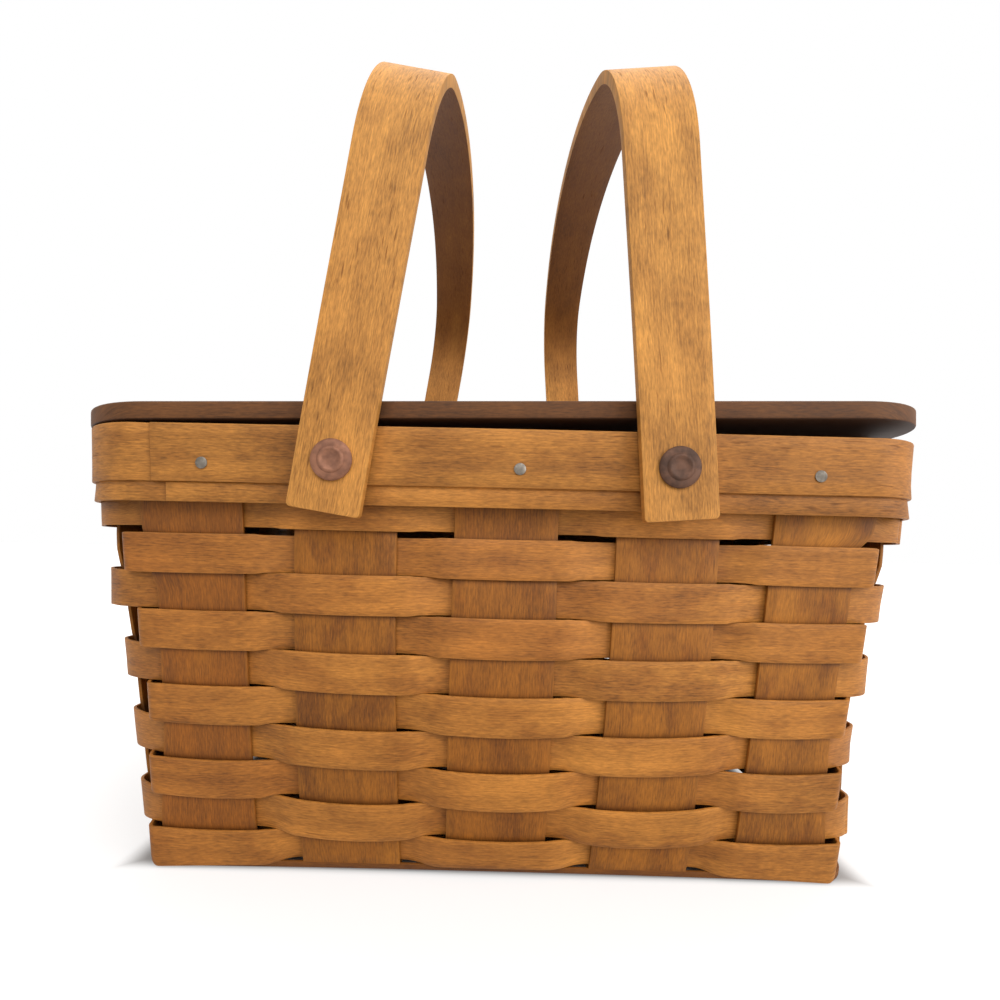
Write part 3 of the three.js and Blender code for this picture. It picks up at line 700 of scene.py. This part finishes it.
def hoop_path(row, start, lapped):
    """Stations round the basket: side, place along it, offset, bow of an outer span and share of a corner."""
    path = []
    before = None
    for count in range(len(POSTS) + 1 if lapped else len(POSTS)):
        post = (start + count) % len(POSTS)
        side, index = POSTS[post]
        offset = -WEAVER_OFFSET if (post + row) % 2 == 0 else WEAVER_OFFSET
        if count == len(POSTS):
            offset = -(WEAVER_OUTSIDE + GAP + WEAVER_THICKNESS / 2)
        near, far = post_edge(side, index, -1), post_edge(side, index, 1)
        if before and before[0] == side:
            for share in np.arange(1, BETWEEN_STEPS) / BETWEEN_STEPS:
                outer = before[2] > 0 if share < 0.5 else offset > 0
                bow = outer * (1 - (ARC_SHARE + (1 - ARC_SHARE) * 2 * min(share, 1 - share)) ** 2)
                path.append((side, part_way(before[1], near, share), between(before[2], offset, eased(share)),
                             bow, None))
        elif before:
            path += corner_path(before, (side, near, offset))
        for share in np.linspace(-1, 1, 2 * HALF_SPAN + 1):
            bow = (offset > 0) * (1 - (ARC_SHARE * share) ** 2)
            path.append((side, part_way(near, far, (share + 1) / 2), offset, bow, None))
        before = (side, far, offset)
    return path


def corner_path(leaving, arriving):
    """Stations from one wall's last splint to the next wall's first, each with that wall and its share."""
    z = MIDDLE_HEIGHT
    (side_a, edge_a, offset_a), (side_b, edge_b, offset_b) = leaving, arriving
    quarter = at_height(CORNER_RADIUS, z) * math.pi / 2
    total = corner_length(side_a, edge_a, z) + corner_length(side_b, edge_b, z) + quarter
    half = corner_length(side_a, edge_a, z) + quarter / 2
    path = []
    for share in np.arange(1, CORNER_STEPS) / CORNER_STEPS:
        distance = share * total
        offset = between(offset_a, offset_b, eased(share))
        outer = offset_a > 0 if share < 0.5 else offset_b > 0
        bow = outer * (1 - ARC_SHARE**2) * max(0.0, 1 - 3 * min(share, 1 - share)) ** 2
        if distance <= half:
            path.append((side_a, corner_place(side_a, edge_a, distance), offset, bow, (side_a, share)))
        else:
            past = corner_place(side_b, edge_b, total - distance)
            path.append((side_b, lambda z, p=past: -p(z), offset, bow, (side_a, share)))
    return path


def unit(vectors):
    return vectors / np.linalg.norm(vectors, axis=1, keepdims=True)


def rounded_turn(before, start, end, count, reach):
    """Runs on past start for its reach, turns within a small radius and goes straight to the end."""
    run = unit(start - before)
    knee = start + reach * run
    lead, tail = knee - KNEE_RADIUS * run, knee + KNEE_RADIUS * unit(end - knee)
    points = [between(start, lead, 0.5)]
    for t in np.linspace(0, 1, TURN_STEPS):
        points.append(between(between(lead, knee, t), between(knee, tail, t), t))
    rest = count - len(points)
    points += [between(tail, end, t) for t in np.arange(1, rest + 1) / (rest + 1)]
    for number, point in enumerate(points):
        point[:, 2] = between(start[:, 2], end[:, 2], eased(min(1.0, number / TURN_STEPS)))
    return points


def cut_corners(rows, path, row):
    """Draws a hoop's corners in: it runs straight past the splint it covers, then turns inside the next."""
    reach = TURN_REACH[row]
    for number, station in enumerate(path):
        if not station[4] or path[number - 1][4]:
            continue
        last = next(n for n in range(number, len(path)) if not path[n][4])
        first, second = rows[number - 1], rows[last]
        leaves_outside = path[number - 1][2] > 0
        if row % 2:
            if leaves_outside:
                last += HALF_SPAN
                curve = rounded_turn(rows[number - 2], first, rows[last], last - number, reach)
            else:
                number -= HALF_SPAN
                curve = rounded_turn(rows[last + 1], second, rows[number - 1], last - number, reach)[::-1]
            rows[number:last] = curve
            continue
        run = first - rows[number - 2] if leaves_outside else second - rows[last + 1]
        knee = (first if leaves_outside else second) + reach * unit(run)
        drawn = (DRAWN_RIGHT if station[4][0] < 2 else DRAWN_LEFT)[row]
        for n in range(number, last):
            share = path[n][4][1]
            curve = between(between(first, knee, share), between(knee, second, share), share)
            rows[n] = between(rows[n], curve, drawn)


def foot_lift(side, s):
    """The bottom stands on its corners: its edges rise a little towards the middle of each wall."""
    return FOOT_LIFT * (1 - np.clip(np.abs(s) / straight_end(side, 0), 0, 1) ** 2)


def weaver(name, node, row, base, height, start, lapped, seed, wander=0.25):
    """One hoop. A lapped one is a woven row; the other is the plain one behind the rim bands."""
    chance = random.Random(seed * 7 + 3)
    phases = [chance.uniform(0, math.tau) for _ in range(4)]
    rows, tones_and_shades = [], []
    across = np.linspace(0, 1, ACROSS)
    path = hoop_path(row, start, lapped)
    tone_base = 0.5 + chance.uniform(-0.16, 0.16)
    for number, (side, place, offset, over, corner) in enumerate(path):
        turn = number / len(path) * math.tau
        reach = min(1.0, abs(offset) / WEAVER_OFFSET)
        outside = eased(min(1.0, max(0.0, (offset - OUTSIDE_FROM) / OUTSIDE_FROM))) if lapped else 0
        sway = wander * (math.sin(3 * turn + phases[0]) + 0.6 * math.sin(7 * turn + phases[1])) * 0.5
        sag = ROW_SAG[row] * SIDE_SAG[side] * over if lapped else 0
        low = base - ROW_SPREAD * outside + sway - sag
        high = base + height + ROW_SPREAD * outside + sway - TOP_SAG * sag
        tucked = eased(min(1.0, max(0.0, 0.5 - offset / (2 * WEAVER_OFFSET))))
        upright = min(1.0, 4 * min(corner[1], 1 - corner[1])) if corner and lapped else 0.0
        if row == ROWS - 1:
            lift = foot_lift(side, place(np.array(base)))
            low = between(LOWEST_EDGE + FOOT_SHOWS * lift / FOOT_LIFT, base + TUCKED_RISE, tucked) + lift
        if side == 2 and lapped:
            low, high = low - BACK_CLOSING, high + BACK_CLOSING
            if row == 0:
                low -= BACK_MEETING
            if row == 1:
                high += BACK_MEETING
        if row == 0:
            high -= TOP_ROW_DROP * upright
        z = between(low, high, across)
        level = between(z, np.full(ACROSS, (low + high) / 2), upright if row else 0.0)
        cupped = math.copysign(1, offset) * (CUP * (1 - (2 * across - 1) ** 2) * reach)
        total = offset + cupped + SPAN_BOW * over
        strip = wall(side, place(level), level, total, 1.0, tucked * (row % 2 and lapped),
                     between(RIM_TOP, ROW_CEILING, upright * (row == 0)))
        strip[:, 2] = z
        rows.append(strip)
        tone = tone_base + 0.14 * math.sin(2 * turn + phases[2]) + 0.1 * math.sin(9 * turn + phases[3])
        # Painted shade: a weaver is darker where it passes inside, behind a splint.
        tones_and_shades.append(np.full((ACROSS, 2), (tone, 0.12 * max(0.0, -offset / WEAVER_OFFSET))))
    if lapped:
        cut_corners(rows, path, row)
    piece = lay_strip(name, np.array(rows), WEAVER_THICKNESS, THIN_EDGE, np.array(tones_and_shades), seed=seed)
    hand_over(piece, weaver_finish, "basket", [node])


BACK_START = SPLINT_COUNT[0] + SPLINT_COUNT[1]
for row, base in enumerate(ROW_BASES):
    weaver(f"weaver_{row + 1:02d}", f"weaver_row_{row + 1:02d}", row, base, ROW_HEIGHT,
           BACK_START + 1 + row % 4, True, 21 + row)
weaver("weaver_behind_rim", "weaver_under_rim", -1, RIM_WEAVER_BASE, RIM_WEAVER_TOP - RIM_WEAVER_BASE,
       BACK_START + 2, False, 41, wander=0.0)


def base_strip():
    """The thin strip that shows below the lowest weaver, all round the bottom."""
    rows = []
    across = np.linspace(0, 1, 3)
    offsets = np.array([0.2, 0.35, 0.3])
    foot, top, trim, bulge = 0.15, 2.9, 5.0, 3.0

    def station(side, s):
        z = between(foot, top, across) + float(foot_lift(side, s))
        return wall(side, np.full(3, s), z, offsets, 1.0)

    for side in range(4):
        end = straight_end(side, 0) - trim
        rows += [station(side, s) for s in np.linspace(-end, end, 40)]
        after = (side + 1) % 4
        first, second = rows[-1], station(after, trim - straight_end(after, 0))
        knee = (first + second) / 2 + bulge * np.array([*(OUTWARD[side] + OUTWARD[after]), 0])
        for share in np.arange(1, 8) / 8:
            rows.append(between(between(first, knee, share), between(knee, second, share), share))
    # Painted shade: the whole strip is darkened, below the lowest weaver.
    tones_and_shades = np.full((len(rows), 3, 2), (0.3, 0.6))
    piece = lay_strip("base_strip", np.array(rows), WEAVER_THICKNESS, 0.35, tones_and_shades, seed=9)
    hand_over(piece, splint_finish, "basket", [])


base_strip()


# Rim bands

def turned_place(side, turn, way):
    """The place of a turn round a corner, as far as half of it."""
    return lambda z: way * (straight_end(side, z) + at_height(CORNER_RADIUS, z) * math.sin(turn))


def band_path(order, start):
    """Stations along the band: side and place, from the lapping end round to the end below it."""
    path = []
    turns = np.radians(np.linspace(0, 45, 9))
    for count, side in enumerate(list(order) + [order[0]]):
        end = straight_end(side, RIM_TOP)
        if count:
            for turn in turns[::-1][1:-1]:
                path.append((side, turned_place(side, turn, -1)))
        low = start if count == 0 else -end
        high = start + BAND_LAP if count == len(order) else end
        for s in np.linspace(low, high, max(3, int((high - low) / 5))):
            path.append((side, lambda z, s=s: s))
        if count < len(order):
            for turn in turns[1:]:
                path.append((side, turned_place(side, turn, 1)))
    return path


def lap_at(before_end, after_start):
    """The share of its thickness that a band has at a station, and how far it shifts out, as such a share."""
    past_top = (after_start - BAND_LAP) / LAP_FADE
    past_below = (before_end - BAND_LAP - LAP_CLEAR) / LAP_FADE
    if past_top < 1:
        faded = max(0.0, past_top)
        return between(LAP_TOP[0], 1.0, faded), LAP_TOP[1] * (1 - faded)
    if past_below < 1:
        faded = max(0.0, past_below)
        return between(LAP_BELOW[0], 1.0, faded), LAP_BELOW[1] * (1 - faded)
    return 1.0, 0.0


def band(name, node, order, start, inside, outside, height, seed, edge, lipped=False):
    """An open strip whose thinned ends lap each other; its outer end lies on top."""
    path = band_path(order, start)
    middle, thickness = (inside + outside) / 2, abs(outside - inside)
    way = math.copysign(1, outside - inside)
    rows, tones_and_shades, shares = [], [], []
    across = np.array([0, 0.12, 0.245, 0.268, 0.5, 0.75, 1]) if lipped else np.linspace(0, 1, 5)
    lip = UNDER_BAND_LIP * (across < 0.25) * lipped
    # Painted shade: the band is darker along its top and bottom edges, where it meets the next piece.
    band_edge_shade = np.clip(np.abs(2 * across - 1) - 0.9, 0, 1)
    points = [wall(side, place(np.array([RIM_TOP])), np.array([RIM_TOP]), 0.0)[0] for side, place in path]
    run = np.cumsum([0.0] + [float(np.linalg.norm(b - a)) for a, b in zip(points, points[1:])])
    for (side, place), distance in zip(path, run):
        z = between(RIM_TOP - height, RIM_TOP, across)
        share, shift = lap_at(run[-1] - distance, distance)
        rows.append(wall(side, place(z), z, middle + shift * way * thickness + lip, 1.0))
        shares.append(share)
        tone = 0.5 + 0.12 * math.sin(distance / 90 + seed)
        tones_and_shades.append(np.stack([np.full(len(across), tone), band_edge_shade], axis=1))
    piece = lay_strip(name, np.array(rows), thickness, edge, np.array(tones_and_shades), np.array(shares), seed)
    hand_over(piece, band_finish, "basket", [node])


band("outer_rim_band", "rim_band_outer", (0, 1, 2, 3), BAND_START, OUTER_BAND_IN, OUTER_BAND_OUT,
     BAND_HEIGHT, 51, 0.55)
band("under_rim_band", "rim_band_under", (0, 1, 2, 3), UNDER_BAND_START, UNDER_BAND_IN,
     UNDER_BAND_IN + UNDER_BAND, UNDER_BAND_HEIGHT, 52, 0.5, lipped=True)
band("inner_rim_band", "rim_band_inner", (2, 3, 0, 1), BAND_START, -UNDER_BAND_IN, INNER_FACE,
     BAND_HEIGHT, 53, 0.5)


# Handles

STRAP_CORNER = math.hypot(HANDLE_TAIL, HANDLE_WIDTH / 2)
STRAP_PLAY = 0.8
HANDLE_INNER = float(-wall(0, PIVOT_X - STRAP_CORNER, RIM_TOP, OUTER_BAND_OUT)[1]) + STRAP_PLAY
HANDLE_MIDDLE = HANDLE_INNER + HANDLE_THICKNESS / 2
HANDLE_OUTER = HANDLE_INNER + HANDLE_THICKNESS


def handle_path():
    """Half of the strap's path, from its tail to the top of the arch: y, z and the distance from its end."""
    half = HANDLE_MIDDLE
    rise = HANDLE_HEIGHT - HANDLE_THICKNESS / 2 - HANDLE_LEG
    shoulder_angle = math.pi / 2 - 2 * math.atan((rise - HANDLE_SHOULDER) / (half - HANDLE_SHOULDER))
    crown = (half - HANDLE_SHOULDER * (1 - math.cos(shoulder_angle))) / math.cos(shoulder_angle)
    rounding = -HANDLE_TAIL + HANDLE_ROUND * (1 - np.cos(np.linspace(0, math.pi / 2, 6)))
    leg = np.arange(-HANDLE_TAIL + 6, HANDLE_LEG, 4.0)
    path = [(-half, z, z + HANDLE_TAIL) for z in (*rounding, *leg)]
    for angle in np.linspace(0, shoulder_angle, 19):
        path.append((-half + HANDLE_SHOULDER * (1 - math.cos(angle)),
                     HANDLE_LEG + HANDLE_SHOULDER * math.sin(angle), FAR_FROM_END))
    foot_y, foot_z = path[-1][:2]
    for angle in np.linspace(shoulder_angle, math.pi / 2, 28)[1:]:
        path.append((foot_y + crown * (math.cos(shoulder_angle) - math.cos(angle)),
                     foot_z + crown * (math.sin(angle) - math.sin(shoulder_angle)), FAR_FROM_END))
    return path


def handle(name, node, body, pivot_x, lean, seed):
    """A bent strap, both halves of its path in one piece, turned to its lean about the rivets."""
    half = handle_path()
    path = half + [(-y, z, end) for y, z, end in half[-2::-1]]
    across = np.linspace(-1, 1, ACROSS)
    rows, tones_and_shades = [], []
    turn = Matrix.Rotation(math.radians(lean), 3, "Y")
    phase = random.Random(seed).uniform(0, math.tau)
    for number, (y, z, from_end) in enumerate(path):
        trim = 0.0
        if from_end < HANDLE_ROUND:
            trim = HANDLE_ROUND - math.sqrt(max(0.0, HANDLE_ROUND**2 - (HANDLE_ROUND - from_end) ** 2))
        x = across * (HANDLE_WIDTH / 2 - trim)
        sway = 0.25 * math.sin(number / 9 + phase)
        points = [turn @ Vector((value + sway, y, z)) for value in x]
        rows.append([(p.x + pivot_x, p.y, p.z + PIVOT_Z) for p in points])
        tone = 0.45 + 0.35 * min(1, max(0, z / 160)) + 0.1 * math.sin(number / 13 + phase)
        tones_and_shades.append([(tone, 0.0)] * ACROSS)
    piece = lay_strip(name, np.array(rows), HANDLE_THICKNESS, 1.0, np.array(tones_and_shades), seed=seed, segments=3)
    shade_inner_face(piece, pivot_x, turn.inverted())
    hand_over(piece, handle_finish, body, [node])


def shade_inner_face(piece, pivot_x, upright):
    """Paints shade on the strap's inner face, most of all under the arch."""
    layer = piece.data.color_attributes["tone_and_shade"].data
    pivot = Vector((pivot_x, 0, PIVOT_Z))
    for vertex in piece.data.vertices:
        place = upright @ (vertex.co / MM - pivot)
        normal = upright @ vertex.normal
        outward = Vector((0, place.y, max(0.0, place.z - HANDLE_LEG))).normalized()
        if normal.dot(outward) < -0.4:
            share = min(1.0, max(0.0, (place.z - HANDLE_LEG + 8) / 40))
            layer[vertex.index].color = (0.2, between(0.12, 0.6, share), 0.5, 1.0)


for label, way, seed in (("left", -1, 61), ("right", 1, 62)):
    handle(f"{label}_handle_strap", f"handle_{label}", f"handle_{label}", way * PIVOT_X, LEANS[label], seed)


# Lid

def lid_place():
    return Matrix.Translation((LID_LEFT * MM, 0, RIM_TOP * MM)) @ Matrix.Rotation(-LID_TILT, 4, "Y")


def board(name, length, depth, thickness, corner, corner_steps, edge, centre, base, tone, seed):
    """A board cut from a plane: its corners rounded, pulled up to its thickness and its edges eased.

    Its grain runs along its longer side, and its underside has painted shade."""
    deselect_all()
    bpy.ops.mesh.primitive_plane_add(size=1)
    piece = new_piece(name)
    bpy.ops.object.mode_set(mode="EDIT")
    bpy.ops.mesh.select_all(action="SELECT")
    bpy.ops.transform.resize(value=(length * MM, depth * MM, 1))
    bpy.ops.mesh.bevel(offset=corner * MM, segments=corner_steps, affect="VERTICES")
    bpy.ops.mesh.select_all(action="SELECT")
    bpy.ops.mesh.extrude_region_move(TRANSFORM_OT_translate={"value": (0, 0, thickness * MM)})
    bpy.ops.mesh.select_all(action="SELECT")
    bpy.ops.mesh.normals_make_consistent(inside=False)
    bpy.ops.object.mode_set(mode="OBJECT")
    ease_edges(piece, edge, 4)
    apply_modifiers(piece)
    mesh = piece.data
    layer = mesh.uv_layers[0] if mesh.uv_layers else mesh.uv_layers.new(name="UVMap")
    turned = depth > length
    for face in mesh.polygons:
        normal = face.normal
        for loop in face.loop_indices:
            co = mesh.vertices[mesh.loops[loop].vertex_index].co
            run, girth = (co.y, co.x) if turned else (co.x, co.y)
            if abs(normal.z) < 0.7:
                girth = girth + co.z * (1 if normal.y < 0 else -1)
                if abs(normal.x) > abs(normal.y) and not turned:
                    run, girth = run + co.z * 0.2, co.y + co.z
            layer.data[loop].uv = (run + seed * 2.3, girth + seed * 1.7)
    attribute = mesh.color_attributes.new("tone_and_shade", "FLOAT_COLOR", "POINT")
    for index in range(len(mesh.vertices)):
        # Painted shade on the underside and its lower edge.
        underside_shade = 0.9 if mesh.vertices[index].co.z < 0.5 * MM else 0.0
        attribute.data[index].color = (tone, underside_shade, 0.5, 1.0)
    mesh.transform(Matrix.Translation((centre[0] * MM, centre[1] * MM, base * MM)))
    mesh.transform(lid_place())
    mesh.update()
    smooth(piece)
    return piece


lid_board = board("lid_plank", LID_LENGTH - sum(PLANK_TRIM), LID_DEPTH, LID_THICKNESS, PLANK_CORNER, 18, 0.9,
                  ((LID_LENGTH + PLANK_TRIM[0] - PLANK_TRIM[1]) / 2, 0), GAP, 0.5, 71)
hand_over(lid_board, lid_finish, "lid", ["lid_board"])
CLEAT_REACH = CLEAT_OUTSIDE - CLEAT_WIDTH / 2
CLEATS = {"left": LID_LENGTH / 2 - CLEAT_REACH, "right": LID_LENGTH / 2 + CLEAT_REACH}
for seed, (label, middle) in zip((71, 73), CLEATS.items()):
    cleat = board(f"{label}_cleat", CLEAT_WIDTH, CLEAT_LENGTH, CLEAT_THICKNESS, 1.5, 3, 0.8,
                  (middle, 0), -CLEAT_THICKNESS, 0.6, seed)
    hand_over(cleat, lid_finish, "lid", [f"lid_cleat_{label}"])


# Turned metal: a circle drawn up ring by ring along its axis

def turned_piece(name, profile, segments):
    """profile lists radius and height from the bottom; it starts and ends with a small radius."""
    deselect_all()
    radius, height = profile[0]
    bpy.ops.mesh.primitive_circle_add(vertices=segments, radius=radius * MM, fill_type="NGON",
                                      location=(0, 0, 0))
    piece = new_piece(name)
    bpy.ops.object.mode_set(mode="EDIT")
    bpy.ops.mesh.select_all(action="SELECT")
    bpy.ops.transform.translate(value=(0, 0, height * MM))
    for next_radius, next_height in profile[1:]:
        rise = (0, 0, (next_height - height) * MM)
        bpy.ops.mesh.extrude_region_move(TRANSFORM_OT_translate={"value": rise})
        factor = next_radius / radius
        bpy.ops.transform.resize(value=(factor, factor, 1))
        radius, height = next_radius, next_height
    bpy.ops.mesh.select_all(action="SELECT")
    bpy.ops.mesh.normals_make_consistent(inside=False)
    bpy.ops.object.mode_set(mode="OBJECT")
    return piece


def stand_outward(piece, side, s, z):
    """Turns a piece's axis from up to outward and sets it at s on that side."""
    outward = Vector((*OUTWARD[side], 0))
    turn = outward.to_track_quat("Z", "Y").to_matrix().to_4x4()
    along = Vector((*(ALONG[side] * s), z)) * MM
    piece.data.transform(Matrix.Translation(along) @ turn)
    piece.data.update()
    smooth(piece, 40)


def wall_out(side, s, z, offset):
    return float(wall(side, s, z, offset)[:2] @ OUTWARD[side])


for number, (side, index) in enumerate(NAILS):
    s = post_centre(side, index, NAIL_Z) if side else FRONT_NAILS[index]
    seat = wall_out(side, s, NAIL_Z, OUTER_BAND_OUT)
    inner = wall_out(side, s, NAIL_Z, INNER_FACE) - GAP
    nail = turned_piece(f"nail_{number + 1:02d}", [
        (0.3, inner - 0.5), (1.0, inner - 0.45), (1.6, inner - 0.1), (1.6, inner), (0.9, inner + 0.05),
        (0.9, seat), (2.1, seat + 0.05), (2.3, seat + 0.2), (2.25, seat + 0.4), (1.9, seat + 0.55),
        (1.2, seat + 0.64), (0.4, seat + 0.66)], 24)
    stand_outward(nail, side, s, NAIL_Z)
    hand_over(nail, nail_steel, "basket", [f"rim_nail_{number + 1:02d}"])

RIVETS = (("left_front", 0, -PIVOT_X), ("right_front", 0, PIVOT_X), ("left_back", 2, PIVOT_X),
          ("right_back", 2, -PIVOT_X))
for label, side, s in RIVETS:
    seat = HANDLE_OUTER + 0.05
    face = wall_out(side, s, PIVOT_Z, INNER_FACE) - GAP - 0.15
    finish = bright_copper if label.startswith("left") else brown_copper
    head = turned_piece(f"rivet_{label}_head", [
        (1.5, face - 3.2), (2.4, face - 3.1), (3.4, face - 2.6), (3.6, face - 2.0), (3.5, face - 1.6),
        (2.5, face - 1.5), (2.5, seat), (7.3, seat), (7.75, seat + 0.3), (7.75, seat + 0.9),
        (7.3, seat + 1.4), (6.2, seat + 1.7), (5.1, seat + 1.75), (4.7, seat + 2.25), (4.1, seat + 2.5),
        (3.6, seat + 2.35), (3.0, seat + 1.9), (1.4, seat + 1.95), (0.4, seat + 2.0)], 48)
    stand_outward(head, side, s, PIVOT_Z)
    hand_over(head, finish, "basket", [f"rivet_{label}"])
    burr = turned_piece(f"rivet_{label}_burr", [
        (2.8, face - 1.2), (6.1, face - 1.2), (6.5, face - 1.0), (6.5, face - 0.2), (6.2, face),
        (2.8, face)], 40)
    stand_outward(burr, side, s, PIVOT_Z)
    hand_over(burr, finish, "basket", [f"rivet_burr_{label}"])

for label, x in CLEATS.items():
    for end, place in (("front", -CLEAT_NAIL_Y), ("back", CLEAT_NAIL_Y)):
        under = -CLEAT_THICKNESS
        nail = turned_piece(f"lid_nail_{label}_{end}", [
            (0.4, under - 0.62), (1.3, under - 0.6), (2.0, under - 0.45), (2.3, under - 0.2),
            (2.3, under - 0.02), (0.9, under), (0.9, 2.4), (0.2, 3.4)], 24)
        nail.data.transform(lid_place() @ Matrix.Translation((x * MM, place * MM, 0)))
        smooth(nail, 40)
        hand_over(nail, nail_steel, "lid", [f"cleat_nail_{label}_{end}"])


# Floor, light and camera

def floor_material():
    """Pale, and white to the eye away from the basket. Round its foot the shadow stays."""
    material, bench, shader = new_material("pale floor")
    settle(shader, {"Base Color": (0.45, 0.44, 0.43, 1), "Roughness": 0.8, "Specular IOR Level": 0.1,
                    "Emission Color": (1, 1, 1, 1)})
    place = bench.add("ShaderNodeTexCoord").outputs["Object"]
    away = bench.add("ShaderNodeVectorMath", operation="LENGTH")
    bench.join(place, away.inputs[0])
    sides = bench.add("ShaderNodeSeparateXYZ")
    bench.join(place, sides.inputs[0])
    across = bench.math("DIVIDE", bench.math("ABSOLUTE", sides.outputs[0], 0), HALF_WIDTH[0] * MM)
    deep = bench.math("DIVIDE", bench.math("ABSOLUTE", sides.outputs[1], 0), HALF_DEPTH[0] * MM)
    beside = bench.ramp(bench.math("MAXIMUM", across, deep), 0.96, 1.04, 0.0, 0.62)
    glow = bench.math("ADD", beside, bench.ramp(away.outputs["Value"], 0.15, 0.5, 0.0, 0.4))
    bench.join(bench.math("MULTIPLY", bench.seen_directly(), glow), shader.inputs["Emission Strength"])
    return material


def make_floor():
    deselect_all()
    bpy.ops.mesh.primitive_plane_add(size=30, location=(0, 0, 0))
    floor = bpy.context.object
    floor.name = "floor"
    floor.data.materials.append(floor_material())


def make_world():
    world = bpy.data.worlds.new("studio")
    bpy.context.scene.world = world
    world.use_nodes = True
    bench = Bench(world.node_tree)
    background = world.node_tree.nodes["Background"]
    strength = bench.math("ADD", bench.math("MULTIPLY", bench.seen_directly(), 0.5), 0.5)
    bench.join(strength, background.inputs["Strength"])
    settle(background, {"Color": (1, 1, 1, 1)})


def add_lamp(name, place, target, size, power):
    data = bpy.data.lights.new(name, "AREA")
    data.shape = "SQUARE"
    data.size = size
    data.energy = power
    lamp = bpy.data.objects.new(name, data)
    bpy.context.scene.collection.objects.link(lamp)
    lamp.location = place
    lamp.rotation_euler = (Vector(target) - Vector(place)).to_track_quat("-Z", "Y").to_euler()


def make_camera(place, degrees, focal_pixels, image_pixels, shift):
    """Stands where the photograph was taken from. degrees are its pitch down, turn to the right and roll."""
    pitch, yaw, roll = (math.radians(angle) for angle in degrees)
    forward = Vector((math.sin(yaw) * math.cos(pitch), math.cos(yaw) * math.cos(pitch), -math.sin(pitch)))
    level = forward.cross(Vector((0, 0, 1))).normalized()
    up = level.cross(forward)
    side = level * math.cos(roll) + up * math.sin(roll)
    top = up * math.cos(roll) - level * math.sin(roll)
    data = bpy.data.cameras.new("camera")
    data.sensor_width = 36
    data.lens = focal_pixels / image_pixels * data.sensor_width
    data.shift_x, data.shift_y = shift
    data.clip_start = 0.01
    data.clip_end = 50
    camera = bpy.data.objects.new("camera", data)
    bpy.context.scene.collection.objects.link(camera)
    turn = Matrix((side, top, -forward)).transposed().to_4x4()
    camera.matrix_world = Matrix.Translation(place) @ turn
    bpy.context.scene.camera = camera


make_floor()
make_world()
add_lamp("window light", place=(-0.25, -1.7, 1.6), target=(0, 0, 0.15), size=1.3, power=19)
add_lamp("fill light", place=(1.7, -1.4, 0.9), target=(0, 0, 0.12), size=1.6, power=34)
add_lamp("top light", place=(0.2, 0.3, 1.9), target=(0, 0, 0.1), size=1.5, power=12)
make_camera(place=(-0.00601, -0.35773, 0.13737), degrees=(0.514, -0.356, 1.316), focal_pixels=575.3,
            image_pixels=1000, shift=(0.0167, 0.0544))

bpy.context.scene.view_settings.view_transform = "Standard"
